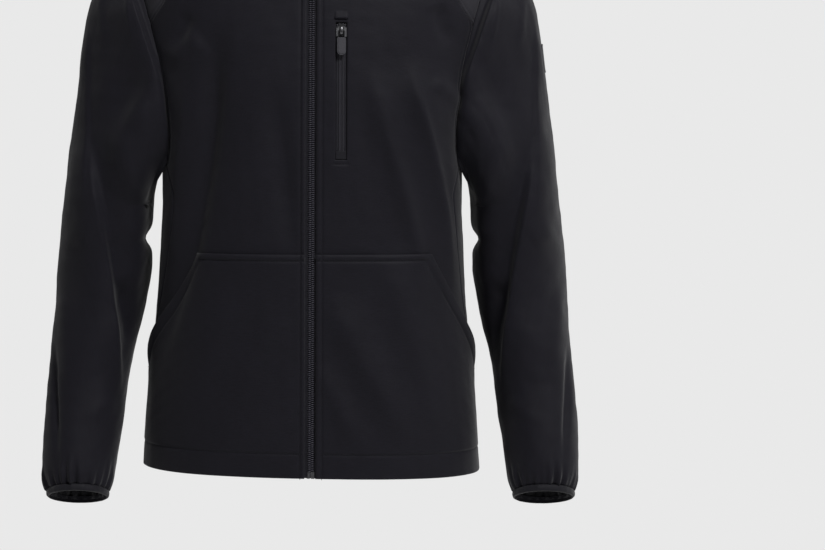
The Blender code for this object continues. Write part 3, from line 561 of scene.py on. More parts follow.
def line_distance(points: Array, line: Array) -> Array:
    """The distance from each point to a line.

    Args:
        points: Points of any grid.
        line: The line's points, in order.

    Returns:
        One distance for each point.
    """
    flat = points.reshape(-1, 3)
    best = np.full(len(flat), np.inf)
    for start, run in zip(line, np.diff(line, axis=0)):
        t = np.clip((flat - start) @ run / (run @ run), 0, 1)
        best = np.minimum(best, np.linalg.norm(flat - start - t[:, None] * run, axis=1))
    return best.reshape(points.shape[:-1])


def beside_column(grid: Array, distance: float, last: bool = False) -> Array:
    """The line of values at this distance over the cloth from a grid's first or last column.

    Args:
        grid: Points in rows and columns, with any further values after the third of each.
        distance: How far from the column.
        last: Whether to measure from the last column.

    Returns:
        One point for each row.
    """
    rows = grid[:, ::-1] if last else grid
    runs = edge_runs(rows[..., :3])[0]
    places = range(grid.shape[-1])
    return np.array([[np.interp(distance, run, row[:, k]) for k in places] for run, row in zip(runs, rows)])


def joined(points: Array, normals: Array) -> Array:
    """Points with their outward directions after them, as a line of sewing holds them."""
    return np.concatenate([points, normals], axis=-1)


def link(obj: Object) -> Object:
    """Puts an object into the scene."""
    bpy.context.scene.collection.objects.link(obj)
    return obj


def freeze(obj: Object) -> Object:
    """Makes an object's evaluated shape its plain mesh and takes its modifiers off."""
    bpy.context.view_layer.update()
    graph = bpy.context.evaluated_depsgraph_get()
    made = bpy.data.meshes.new_from_object(obj.evaluated_get(graph), depsgraph=graph)
    old = obj.data
    obj.modifiers.clear()
    obj.data = made
    bpy.data.meshes.remove(old)
    return obj


@dataclass
class NodeDesk:
    """Adds a tree's nodes and links them."""

    tree: bpy.types.NodeTree

    def add(self, kind: str, inputs: Optional[dict] = None, **settings: object) -> Node:
        """Adds a node.

        Args:
            kind: The node's type.
            inputs: Values or sockets for its inputs, by name or number.
            settings: The node's own settings.

        Returns:
            The node.
        """
        node = self.tree.nodes.new(kind)
        for name, value in settings.items():
            setattr(node, name, value)
        for name, value in (inputs or {}).items():
            if isinstance(value, Socket):
                self.tree.links.new(value, node.inputs[name])
            else:
                node.inputs[name].default_value = value
        return node

    def ramp(self, factor: Socket, stops: Sequence[tuple[float, Triple]]) -> Socket:
        """A colour that runs between stops as the factor rises.

        Args:
            factor: What it follows.
            stops: Places and colours, in order.

        Returns:
            The colour.
        """
        node = self.add("ShaderNodeValToRGB", {"Fac": factor})
        for element, (place, colour) in zip(node.color_ramp.elements, stops):
            element.position = place
            element.color = (*colour, 1)
        return node.outputs["Color"]

    def between(self, factor: Socket, low: float, high: float, start: float = 0.0) -> Socket:
        """A number that runs from low to high as the factor goes from its start to 1."""
        values = {"Value": factor, "From Min": start, "To Min": low, "To Max": high}
        return self.add("ShaderNodeMapRange", values).outputs["Result"]

    def noise(self, spot: Socket, scale: float, detail: float = 3.0) -> Socket:
        """Soft noise of this scale and detail."""
        values = {"Vector": spot, "Scale": scale, "Detail": detail}
        return self.add("ShaderNodeTexNoise", values).outputs["Fac"]

    def mix(self, way: str, first: object, second: object) -> Socket:
        """Two numbers put together in this way."""
        return self.add("ShaderNodeMath", {0: first, 1: second}, operation=way).outputs[0]


# A wave texture's scale times its period
WAVE_SCALE = 0.314


@dataclass(frozen=True)
class Finish:
    """A surface finish: its name, the record's slot, and its plain values."""

    name: str
    slot: str
    colour: Triple
    roughness: float
    specular: float = 0.3
    metallic: float = 0.0

    def material(self) -> bpy.types.Material:
        """The finish as a material, made once."""
        found = bpy.data.materials.get(self.name)
        if found:
            return found
        made = bpy.data.materials.new(self.name)
        made.use_nodes = True
        shader = made.node_tree.nodes["Principled BSDF"]
        shader.inputs["Roughness"].default_value = self.roughness
        shader.inputs["Specular IOR Level"].default_value = self.specular
        shader.inputs["Metallic"].default_value = self.metallic
        made.diffuse_color = (*self.colour, 1)
        self.dress(NodeDesk(made.node_tree), shader)
        return made

    def dress(self, desk: NodeDesk, shader: Node) -> None:
        """Links the finish's pattern to the shader: a plain grain here."""
        spot = desk.add("ShaderNodeTexCoord").outputs["Object"]
        grain = desk.noise(spot, 900.0)
        self.tint(desk, shader, grain, (0.3, 0.7), (0.85, 1.15))
        self.roughen(desk, shader, grain, (-0.08, 0.08))
        self.bump(desk, shader, grain, 0.15, 0.00005)

    def tint(self, desk: NodeDesk, shader: Node, factor: Socket, places: Pair, shades: Pair) -> None:
        """Links a colour that runs between two shades of the finish's own, from one place to the other."""
        stops = [(place, tuple(c * shade for c in self.colour)) for place, shade in zip(places, shades)]
        desk.tree.links.new(desk.ramp(factor, stops), shader.inputs["Base Color"])

    def roughen(self, desk: NodeDesk, shader: Node, factor: Socket, offsets: Pair) -> None:
        """Links a roughness that runs between two offsets from the finish's own as the factor rises."""
        rough = desk.between(factor, self.roughness + offsets[0], self.roughness + offsets[1])
        desk.tree.links.new(rough, shader.inputs["Roughness"])

    def bump(self, desk: NodeDesk, shader: Node, height: Socket, strength: float, deep: float) -> None:
        """Links a height to the shader as relief of this strength and depth."""
        node = desk.add("ShaderNodeBump", {"Height": height, "Strength": strength, "Distance": deep})
        desk.tree.links.new(node.outputs["Normal"], shader.inputs["Normal"])


@dataclass(frozen=True)
class KnitFinish(Finish):
    """The smooth knitted face of bonded fleece: fine courses, short streaks along them and a faint sheen."""

    sheen: float = 0.10
    course: float = 0.0011
    wale: float = 0.0008
    streak_long: float = 0.010
    streak_tall: float = 0.0012
    contrast: float = 0.24

    def dress(self, desk: NodeDesk, shader: Node) -> None:
        """Links courses, wales and streaks, drawn on the cut piece, to colour, roughness and relief.

        Args:
            desk: Where nodes are added.
            shader: The finish's shader.
        """
        shader.inputs["Sheen Weight"].default_value = self.sheen
        shader.inputs["Sheen Roughness"].default_value = 0.45
        spot = desk.add("ShaderNodeUVMap", uv_map="cloth").outputs["UV"]
        scale = (1 / self.streak_long, 1 / self.streak_tall, 1.0)
        drawn = desk.add("ShaderNodeMapping", {"Vector": spot, "Scale": scale}).outputs["Vector"]
        streak, heather, wear = desk.noise(drawn, 1.0), desk.noise(spot, 620.0, 2.0), desk.noise(spot, 16.0)
        mixed = desk.mix("ADD", desk.mix("MULTIPLY", streak, 0.40), desk.mix("MULTIPLY", heather, 0.40))
        mixed = desk.mix("ADD", mixed, desk.mix("MULTIPLY", wear, 0.20))
        self.tint(desk, shader, mixed, (0.36, 0.64), (1 - self.contrast, 1 + self.contrast))
        self.roughen(desk, shader, mixed, (0.10, -0.10))
        courses = self.ribs(desk, spot, "Y", self.course)
        wales = self.ribs(desk, spot, "X", self.wale)
        knit = desk.mix("ADD", desk.mix("MULTIPLY", courses, wales), desk.mix("MULTIPLY", mixed, 1.4))
        self.bump(desk, shader, knit, 0.35, 0.00016)

    def ribs(self, desk: NodeDesk, spot: Socket, way: str, period: float) -> Socket:
        """Even ribs across the cut piece's width or length, of this period."""
        values = {"Vector": spot, "Scale": WAVE_SCALE / period, "Distortion": 0.6}
        values.update({"Detail": 1.0, "Detail Scale": 0.4})
        return desk.add("ShaderNodeTexWave", values, bands_direction=way).outputs["Fac"]


@dataclass(frozen=True)
class FleeceFinish(Finish):
    """The brushed inside of bonded fleece: soft pile in small clumps."""

    clump: float = 0.0030

    def dress(self, desk: NodeDesk, shader: Node) -> None:
        """Links the pile to colour and relief."""
        shader.inputs["Sheen Weight"].default_value = 0.25
        shader.inputs["Sheen Roughness"].default_value = 0.6
        spot = desk.add("ShaderNodeTexCoord").outputs["Object"]
        pile = desk.noise(spot, 1 / self.clump, 6.0)
        self.tint(desk, shader, pile, (0.3, 0.7), (0.6, 1.4))
        self.bump(desk, shader, pile, 0.8, 0.0008)


@dataclass(frozen=True)
class WovenFinish(Finish):
    """A woven tape or an elastic binding: fine twill ribs."""

    rib: float = 0.0007

    def dress(self, desk: NodeDesk, shader: Node) -> None:
        """Links the ribs to colour and relief."""
        shader.inputs["Sheen Weight"].default_value = 0.10
        spot = desk.add("ShaderNodeUVMap", uv_map="cloth").outputs["UV"]
        values = {"Vector": spot, "Scale": WAVE_SCALE / self.rib, "Distortion": 0.4}
        ribs = desk.add("ShaderNodeTexWave", values, bands_direction="DIAGONAL").outputs["Fac"]
        yarn = desk.noise(spot, 300.0)
        mixed = desk.mix("ADD", desk.mix("MULTIPLY", ribs, 0.5), desk.mix("MULTIPLY", yarn, 0.5))
        self.tint(desk, shader, mixed, (0.2, 0.8), (0.7, 1.3))
        self.bump(desk, shader, mixed, 0.5, 0.0002)


@dataclass(frozen=True)
class CastFinish(Finish):
    """Die-cast zip metal: slightly uneven, duller in patches."""

    def dress(self, desk: NodeDesk, shader: Node) -> None:
        """Links handling wear to colour and roughness."""
        spot = desk.add("ShaderNodeTexCoord").outputs["Object"]
        worn = desk.noise(spot, 350.0, 4.0)
        self.tint(desk, shader, worn, (0.3, 0.7), (0.8, 1.1))
        self.roughen(desk, shader, worn, (-0.1, 0.12))
        self.bump(desk, shader, worn, 0.1, 0.00005)


SHELL_FACE = KnitFinish("softshell_face", "softshell", (0.0092, 0.0086, 0.0128), 0.62, 0.12)
YOKE_FACE = KnitFinish("yoke_face", "yoke_cloth", (0.0270, 0.0260, 0.0320), 0.66, 0.14)
FLEECE = FleeceFinish("fleece_inside", "softshell", (0.015, 0.015, 0.018), 0.95, 0.1)
BINDING = WovenFinish("elastic_binding", "binding", (0.0108, 0.0104, 0.0140), 0.6, 0.12)
TAPE = WovenFinish("zip_tape", "zip", (0.0135, 0.0130, 0.0180), 0.6, 0.14)
COIL = Finish("zip_coil", "zip", (0.046, 0.044, 0.058), 0.42, 0.3)
COATED = WovenFinish("coated_tape", "zip", (0.0165, 0.0158, 0.0220), 0.36, 0.45)
METAL = CastFinish("cast_metal", "slider_metal", (0.16, 0.16, 0.17), 0.38, 0.5, 1.0)
# Black lacquer: the pull link's own colour, and on the slider's base painted shade, the black of the
# shadowed gaps round and between the cheeks
LACQUER_AND_PAINTED_SHADE = Finish("lacquered_metal", "slider_metal", (0.010, 0.010, 0.012), 0.42, 0.35)
MOULDED = Finish("moulded_tab", "tab", (0.046, 0.045, 0.053), 0.45, 0.3)
THREAD = Finish("sewing_thread", "softshell", (0.0095, 0.0092, 0.0125), 0.6, 0.2)


def deliver(
    obj: Object,
    node: str = "",
    body: str = JACKET,
) -> None:
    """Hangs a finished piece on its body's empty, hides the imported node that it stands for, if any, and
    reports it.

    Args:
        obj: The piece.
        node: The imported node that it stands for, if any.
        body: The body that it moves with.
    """
    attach(obj, body)
    if node:
        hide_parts(node)
    LOG.info("%s: %d faces, moves with %s", obj.name, len(obj.data.polygons), body)


@dataclass
class Shell:
    """A cloth wall between two grids of points, closed round its rim and round any hole."""

    name: str
    outer: Array
    inner: Array
    face: Finish
    inside: Finish
    closed: bool = False
    hole: Optional[tuple[slice, slice]] = None

    def build(self) -> Object:
        """The wall as an object, with lengths along its rows and columns as its UV map, in metres."""
        rows, columns = self.outer.shape[:2]
        count = rows * columns
        place = np.arange(count).reshape(rows, columns)
        flat = np.stack(edge_runs(self.outer)[::2], axis=-1)
        flat_place = np.arange(rows * (columns + 1)).reshape(rows, columns + 1)[:, :columns]
        flat = np.concatenate([flat, flat[:, -1:]], axis=1)
        if self.closed:
            last = np.linalg.norm(self.outer[:, 0] - self.outer[:, -1], axis=-1)
            flat[:, -1, 0] += last
            place = np.concatenate([place, place[:, :1]], axis=1)
            flat_place = np.arange(rows * (columns + 1)).reshape(rows, columns + 1)
        quads, flat_quads = (self.cells(grid) for grid in (place, flat_place))
        facing = np.sum(grid_normals(self.outer, self.closed) * (self.outer - self.inner))
        if facing < 0:
            quads, flat_quads = quads[:, ::-1], flat_quads[:, ::-1]
        rim, flat_rim = self.rim(quads, flat_quads, count)
        faces = np.concatenate([quads, quads[:, ::-1] + count, rim])
        corners = np.concatenate([flat_quads, flat_quads[:, ::-1], flat_rim])
        mesh = bpy.data.meshes.new(self.name)
        points = np.concatenate([self.outer.reshape(-1, 3), self.inner.reshape(-1, 3)])
        mesh.from_pydata(points.tolist(), [], faces.tolist())
        layer = mesh.uv_layers.new(name="cloth")
        layer.data.foreach_set("uv", flat.reshape(-1, 2)[corners.ravel()].ravel())
        lined = np.zeros(len(faces), int)
        lined[len(quads) : 2 * len(quads)] = 1
        mesh.materials.append(self.face.material())
        mesh.materials.append(self.inside.material())
        mesh.polygons.foreach_set("material_index", lined)
        mesh.shade_smooth()
        mesh.update()
        return link(bpy.data.objects.new(self.name, mesh))

    def sew(self, node: str) -> None:
        """Builds the wall and hands it over."""
        deliver(self.build(), node)

    def cells(self, grid: Array) -> Array:
        """The four corners of each cell of a grid of numbers, without the hole's cells."""
        quads = np.stack([grid[:-1, :-1], grid[:-1, 1:], grid[1:, 1:], grid[1:, :-1]], axis=-1)
        kept = np.ones(quads.shape[:2], bool)
        if self.hole:
            kept[self.hole] = False
        return quads[kept]

    def rim(self, quads: Array, flat_quads: Array, count: int) -> tuple[Array, Array]:
        """Faces from the open edges of the outer grid to the inner one.

        Args:
            quads: The outer grid's faces.
            flat_quads: The same faces' places in the UV map.
            count: How many points the outer grid has.

        Returns:
            The rim's faces, and their places in the UV map.
        """
        start, end = quads.ravel(), np.roll(quads, -1, axis=1).ravel()
        flat_start, flat_end = flat_quads.ravel(), np.roll(flat_quads, -1, axis=1).ravel()
        free = ~np.isin(start * count + end, end * count + start)
        a, b = start[free], end[free]
        p, q = flat_start[free], flat_end[free]
        return np.stack([b, a, a + count, b + count], axis=-1), np.stack([q, p, p, q], axis=-1)


def draw_in(grid: Array, gap: float = VISIBLE_SEAM) -> Array:
    """Draws an open grid's edges in.

    Args:
        grid: Points in rows and columns.
        gap: How far each edge moves.

    Returns:
        A new grid.
    """
    grid = grid.copy()
    moves = [unit(grid[:, 1] - grid[:, 0]), unit(grid[:, -2] - grid[:, -1])]
    moves += [unit(grid[1] - grid[0]), unit(grid[-2] - grid[-1])]
    for place, move in zip((np.s_[:, 0], np.s_[:, -1], np.s_[0], np.s_[-1]), moves):
        grid[place] += move * gap
    return grid


def worked(
    outer: Array,
    normals: Array,
    wall: float,
    edges: Sequence[Edge],
    drop: Array | float = 0.0,
    welts: Sequence[Array | float] = (),
) -> Surface:
    """A cloth's two faces with their edges worked.

    Args:
        outer: The outer face's points before working.
        normals: Outward directions there.
        wall: The cloth's thickness.
        edges: How the first column, last column, first row and last row are worked.
        drop: How far sewing already draws the outer face down.
        welts: How wide a band swells between each of those edges and its topstitching, 0 for none.

    Returns:
        The outer and the inner face's points.
    """
    down = np.zeros(outer.shape[:2]) + drop
    up = np.zeros(outer.shape[:2])
    for distance, edge in zip(edge_runs(outer), edges):
        if edge is TURNED:
            rounded = TURN_DEPTH * quarter_round(distance, TURN_RADIUS)
            down, up = np.maximum(down, rounded), np.maximum(up, rounded)
        elif edge is SEWN:
            down = np.maximum(down, SEAM_DEPTH * quarter_round(distance, SEAM_RADIUS))
            up = np.maximum(up, SEAM_LIFT * ease(1 - distance / SEAM_LIFT_RUN))
    for distance, wide in zip(edge_runs(outer), welts):
        share = np.clip(distance / np.maximum(wide, 1e-6), 0, 1)
        down = down - WELT_RISE * np.sin(math.pi * share) ** WELT_CURVE
    return outer - normals * down[..., None], outer - normals * (wall - up)[..., None]


# The inputs of a row of beads, with the kind of socket of each
BEAD_INPUTS = {
    "Lines": "Geometry",
    "Pitch": "Float",
    "Bead Size": "Vector",
    "Jitter": "Float",
    "Seed": "Int",
    "Finish": "Material",
}


@dataclass(frozen=True)
class BeadRow:
    """A Geometry Nodes tree that sets small rounded beads along lines, such as stitches or zip teeth."""

    name: str
    finish: Finish
    pitch: float
    size: Triple
    jitter: float = 0.08
    seed: int = 7
    segments: int = 6
    rings: int = 4

    def tree(self) -> bpy.types.NodeTree:
        """The tree: lines to curves, even points, a bead on each turned to its line, made real."""
        tree = bpy.data.node_groups.new(self.name, "GeometryNodeTree")
        sockets = tree.interface
        for name, kind in BEAD_INPUTS.items():
            sockets.new_socket(name, in_out="INPUT", socket_type=f"NodeSocket{kind}")
        sockets.new_socket("Beads", in_out="OUTPUT", socket_type="NodeSocketGeometry")
        desk = NodeDesk(tree)
        given = desk.add("NodeGroupInput").outputs
        curve = desk.add("GeometryNodeMeshToCurve", {"Mesh": given["Lines"]}).outputs["Curve"]
        spaced = {"Curve": curve, "Length": given["Pitch"]}
        even = desk.add("GeometryNodeResampleCurve", spaced, mode="LENGTH").outputs["Curve"]
        tangent = desk.add("GeometryNodeInputTangent").outputs["Tangent"]
        turned = desk.add("FunctionNodeAlignRotationToVector", {"Vector": tangent}, axis="X")
        round_ball = {"Segments": self.segments, "Rings": self.rings, "Radius": 0.5}
        ball = desk.add("GeometryNodeMeshUVSphere", round_ball).outputs["Mesh"]
        least = desk.mix("SUBTRACT", 1.0, given["Jitter"])
        most = desk.mix("ADD", 1.0, given["Jitter"])
        drawn = {0: least, 1: most, "Seed": given["Seed"]}
        vary = desk.add("FunctionNodeRandomValue", drawn, data_type="FLOAT_VECTOR").outputs[0]
        size = {0: given["Bead Size"], 1: vary}
        scale = desk.add("ShaderNodeVectorMath", size, operation="MULTIPLY").outputs[0]
        set_out = {"Points": even, "Instance": ball, "Rotation": turned.outputs["Rotation"], "Scale": scale}
        beads = desk.add("GeometryNodeInstanceOnPoints", set_out).outputs["Instances"]
        real = desk.add("GeometryNodeRealizeInstances", {"Geometry": beads}).outputs["Geometry"]
        soft = desk.add("GeometryNodeSetShadeSmooth", {"Geometry": real}).outputs["Geometry"]
        dressed = desk.add("GeometryNodeSetMaterial", {"Geometry": soft, "Material": given["Finish"]})
        desk.add("NodeGroupOutput", {"Beads": dressed.outputs["Geometry"]})
        return tree

    def lay(self, lines: Sequence[Array]) -> None:
        """Sets the beads out and hands them over as a plain mesh.

        Args:
            lines: Lines of points to follow.
        """
        points = np.concatenate(lines)
        ends = np.cumsum([len(line) for line in lines])
        edges = [(i, i + 1) for i in range(len(points) - 1) if i + 1 not in set(ends.tolist())]
        mesh = bpy.data.meshes.new(self.name)
        mesh.from_pydata(points.tolist(), edges, [])
        obj = link(bpy.data.objects.new(self.name, mesh))
        tree = self.tree()
        modifier = obj.modifiers.new(self.name, "NODES")
        modifier.node_group = tree
        values = {
            "Pitch": self.pitch,
            "Bead Size": self.size,
            "Jitter": self.jitter,
            "Seed": self.seed,
            "Finish": self.finish.material(),
        }
        for item in tree.interface.items_tree:
            if item.in_out == "INPUT" and item.name in values:
                modifier[item.identifier] = values[item.name]
        deliver(freeze(obj))


@dataclass
class Sewing:
    """The jacket's lines of topstitching and the shallow grooves that they draw into the cloth."""

    pitch: float = 0.0031
    stitch: Triple = (0.0025, 0.0007, 0.0007)
    sink: float = 0.00066
    groove_depth: float = 0.00075
    groove_half: float = 0.0016
    lines: list[Array] = field(default_factory=list)

    def groove(self, grid: Array, lines: Sequence[Array]) -> Array:
        """Sews lines that lie on a grid of cloth.

        Args:
            grid: The cloth's outer points.
            lines: Lines of points, each with its outward direction after it.

        Returns:
            How far the sewing draws each point of the grid down.
        """
        down = np.zeros(grid.shape[:2])
        for line in lines:
            self.lines.append(line[:, :3] - line[:, 3:] * self.sink)
            near = hump(line_distance(grid, line[:, :3]), self.groove_half)
            down = np.maximum(down, self.groove_depth * near)
        return down

    def build(self) -> None:
        """Lays every stitch."""
        BeadRow("topstitching", THREAD, self.pitch, self.stitch).lay(self.lines)


@dataclass(frozen=True)
class TorsoForm:
    """The torso's cloth as a surface over an angle from the front and a height."""

    hem: float = -0.680
    hem_depth: float = 0.028
    hem_puff: float = -0.0004
    hem_step: float = 0.002
    hem_draw: float = 0.0012
    draw_tall: float = 0.05
    sway: float = 0.018
    sway_from: float = -0.52
    hem_calm: float = 0.06
    neck_calm_from: float = -0.085
    neck_calm: float = 0.04
    hills: float = 0.00045
    hill_wave: float = 0.075
    ripples: float = 0.00016
    ripple_wave: float = 0.021
    seeds: tuple[int, int] = (3, 5)

    def plain(self, angle: Array, height: Array) -> Array:
        """The form without folds.

        Args:
            angle: Angles from the front.
            height: Heights.

        Returns:
            A point for each.
        """
        levels, names = column(TORSO, "height"), ("half_width", "front", "back", "square")
        half_width, front, back, square = (smooth(levels, column(TORSO, n), height) for n in names)
        sine, cosine = np.sin(angle), np.cos(angle)
        reach = (np.abs(sine) ** square + np.abs(cosine) ** square) ** (-1 / square)
        depth = np.where(cosine > 0, front, back)
        return np.stack([half_width * reach * sine, -depth * reach * cosine, height + 0 * angle], axis=-1)

    def normals(self, angle: Array, height: Array) -> Array:
        """Outward directions of the form without folds."""
        little = 1e-4
        round_it = self.plain(angle + little, height) - self.plain(angle - little, height)
        up_it = self.plain(angle, height + little) - self.plain(angle, height - little)
        return unit(np.cross(round_it, up_it))

    def cloth(self, angle: Array, height: Array) -> Surface:
        """The cloth with folds and turned hem.

        Args:
            angle: Angles from the front.
            height: Heights.

        Returns:
            Outer points, and the outward directions of the form without folds.
        """
        height = height + 0 * angle
        points = self.plain(angle, height)
        normals = self.normals(angle, height)
        lift = relief(points, normals, FRONT_FOLDS, BACK_FOLDS)
        lift = lift * ease((height - self.hem) / self.hem_calm)
        lift = lift * ease((self.neck_calm_from - height) / self.neck_calm)
        lift = lift + self.hem_puff * ease((self.hem + self.hem_depth - height) / self.hem_step + 0.5)
        lift = lift + self.hills * unevenness(points, self.hill_wave, self.seeds[0])
        lift = lift + self.ripples * unevenness(points, self.ripple_wave, self.seeds[1])
        low = ease((self.hem + self.draw_tall - height) / self.draw_tall)
        drawn = self.hem_draw * low * np.abs(normals[..., 0]) ** 2
        points = points + normals * (lift - drawn)[..., None]
        low = ease((self.sway_from - height) / (self.sway_from - self.hem))
        points[..., 2] -= self.sway * points[..., 0] * low
        return points, normals

    def angle_at(self, x: Array, height: Array) -> Array:
        """The angle on the front where the form passes this far sideways."""
        levels = column(TORSO, "height")
        share = x / smooth(levels, column(TORSO, "half_width"), height)
        square = smooth(levels, column(TORSO, "square"), height)
        return np.arctan2(share, (1 - np.abs(share) ** square) ** (1 / square))

    def neck_height(self, angle: Array) -> Array:
        """The height of the neck seam at these angles, from 0 in front round to a full turn."""
        return along_seam(NECKLINE, 180 - np.abs(180 - np.abs(np.degrees(angle))))[1]


@dataclass
class ChestSlot:
    """The slot in the left front for the chest pocket's zip."""

    x: float = 0.0333
    top: float = -0.164
    bottom: float = -0.319
    half: float = 0.0064

    def distance(self, points: Array) -> Array:
        """How far points of the front are outside the slot, seen square on."""
        beside = np.clip(np.abs(points[..., 0] - self.x) - self.half, 0, None)
        above = np.clip(np.maximum(points[..., 2] - self.top, self.bottom - points[..., 2]), 0, None)
        return np.hypot(beside, above)


@dataclass
class Body:
    """The fronts, the back and the yokes."""

    form: TorsoForm
    sewing: Sewing
    slot: ChestSlot
    front_wide: float = 0.215
    back_wide: float = 0.47
    side_tall: float = 0.354
    arm_tall: float = 0.260
    back_extra: float = 0.08
    yoke_wide: float = 0.20
    yoke_tall: float = 0.15
    yoke_step: float = 0.003
    share_start: float = 0.15
    share_search: int = 8
    slot_columns: int = 5
    slot_flat: float = 0.016
    slot_fade: float = 0.03
    slot_stitch: float = 0.0048
    slot_past: float = 0.001
    arm_stitch: float = 0.0040
    arm_sewn: float = 0.55
    yoke_stitches: Pair = (0.0013, 0.0050)
    front_cut: Cut = Cut(0.28, 0.70, 0.149)
    back_cut: Cut = Cut(0.64, 0.745, 0.370)
    yoke_cut: Cut = Cut(0.246, 0.19, 0.032)

    def build(self) -> None:
        """Builds each panel."""
        low = self.form.hem + self.side_tall * spread(self.side_tall, close=(self.form.hem_depth,))
        for side in Side:
            self.build_front(side, low)
            self.build_yoke(side)
        self.build_back(low)

    def panel_rows(
        self, low: Array, rise: Array, arm: tuple[int, float], yoke: Sequence[Knot], levels: Sequence[float]
    ) -> tuple[Array, ...]:
        """The rows of a panel from its hem to its neck.

        Args:
            low: The heights of the rows under the armhole.
            rise: Steps up above them, from 0 under the arm.
            arm: How many steps are beside the armhole, and the armhole's place where the yoke starts.
            yoke: The yoke's seam, which goes on from there.
            levels: The heights of the panel's middle beside the yoke's start and at the neck.

        Returns:
            Angles and heights at the side, heights at the middle, and how far a row takes the neck's curve.
        """
        arm_steps, arm_end = arm
        steps = arm_steps + YOKE_STEPS
        edge = along_seam(ARMHOLE, UNDER_ARM + (arm_end - UNDER_ARM) * np.clip(rise / arm_steps, 0, 1))
        top = along_seam(yoke, np.clip((rise - arm_steps) / YOKE_STEPS, 0, 1))
        side = [np.where(rise <= arm_steps, e, t) for e, t in zip(edge, top)]
        middle = np.interp(rise, (0, arm_steps, steps), (low[-1], *levels))
        starts = (side_seam_angle(low), low, low, 0 * low)
        rest = (*side, middle, ease((rise - 1) / (steps - 1)))
        return tuple(np.concatenate(pair) for pair in zip(starts, rest))

    def front_frame(self, edge: float, low: Array, rise: Array) -> tuple[Array, ...]:
        """The rows of a front, drawn on the wearer's left.

        Args:
            edge: How far the zip edge is from the middle.
            low: The heights of the rows under the armhole.
            rise: Steps up above them, from 0 under the arm.

        Returns:
            Angles at the zip, and what panel_rows gives.
        """
        neck_angle = self.form.angle_at(edge, np.array(NECKLINE[0].height))
        levels = (CENTRE_AT_YOKE, float(self.form.neck_height(neck_angle)))
        rows = self.panel_rows(low, rise, (FRONT_ARM_STEPS, YOKE_END), YOKE_FRONT, levels)
        return self.form.angle_at(edge, rows[2]), *rows

    def front_places(self, u: Array, rows: tuple[Array, ...]) -> Surface:
        """Angles and heights of a front's grid, drawn on the wearer's left.

        Args:
            u: Shares of the way from zip to side, for all rows or each.
            rows: What front_frame gives.

        Returns:
            Angles and heights, in rows from the hem up.
        """
        centre_angle, outer_angle, outer_height, centre_height, weight = (row[:, None] for row in rows)
        angle = (1 - u) * centre_angle + u * outer_angle
        height = (1 - u) * centre_height + u * outer_height
        bend = self.form.neck_height(angle[-1]) - height[-1]
        return angle, height + weight * bend

    def share_at(self, x: float, rows: tuple[Array, ...]) -> Array:
        """Where the rows of a front pass a place, closed in on step by step.

        Args:
            x: How far sideways the place is.
            rows: What front_frame gives.

        Returns:
            A share of the way from zip to side for each row.
        """
        centre_angle, outer_angle, outer_height, centre_height, _ = rows
        share = np.full(len(centre_angle), self.share_start)
        for _ in range(self.share_search):
            height = (1 - share) * centre_height + share * outer_height
            share = (self.form.angle_at(x, height) - centre_angle) / (outer_angle - centre_angle)
        return share

    def slotted_places(self, low: Array) -> tuple[Surface, tuple[slice, slice]]:
        """The left front's places, with rows and columns that run along the chest slot's edges.

        Args:
            low: The heights of the rows under the armhole.

        Returns:
            Angles and heights of the grid, and the slot's rows and columns of cells.
        """
        slot, top_step = self.slot, FRONT_ARM_STEPS + YOKE_STEPS
        fine = np.linspace(0, top_step, 400)
        rows = self.front_frame(ZIP_EDGE_LEFT, low[-1:], fine)
        middle = self.share_at(slot.x, rows)[:, None]
        heights = self.front_places(middle, rows)[1][1:, 0]
        first, last = np.interp((slot.bottom, slot.top), heights, fine)
        below = first * spread(slot.bottom - low[-1])[1:]
        beside = first + (last - first) * spread(slot.top - slot.bottom)[1:]
        above = last + (top_step - last) * spread(self.arm_tall - slot.top + low[-1])[1:]
        rows = self.front_frame(ZIP_EDGE_LEFT, low, np.concatenate([below, beside, above]))
        start = len(low) - 1 + len(below)
        near = self.share_at(slot.x - slot.half, rows)[:, None]
        far = self.share_at(slot.x + slot.half, rows)[:, None]
        inside = spread(slot.x - slot.half - ZIP_EDGE_LEFT, close=(TOPSTITCH_LEFT,))[None, :-1]
        across = np.linspace(0, 1, self.slot_columns)[None, :-1]
        outside = spread(self.front_wide - slot.x)[None, :]
        u = np.concatenate([inside * near, near + across * (far - near), far + outside * (1 - far)], axis=1)
        angle, height = self.front_places(u, rows)
        hole = (slice(start, start + len(beside)), slice(inside.size, inside.size + across.size))
        mid = inside.size + across.size // 2
        points = self.form.plain(angle, height)
        by_column = ease(1 - (np.abs(points[..., 0] - slot.x) - slot.half) / self.slot_flat)
        level = height[:, mid]
        by_row = ease((level - slot.bottom) / self.slot_fade + 1)
        by_row = by_row * ease((slot.top - level) / self.slot_fade + 1)
        height = height + by_column * by_row[:, None] * (level[:, None] - height)
        return (angle, height), hole

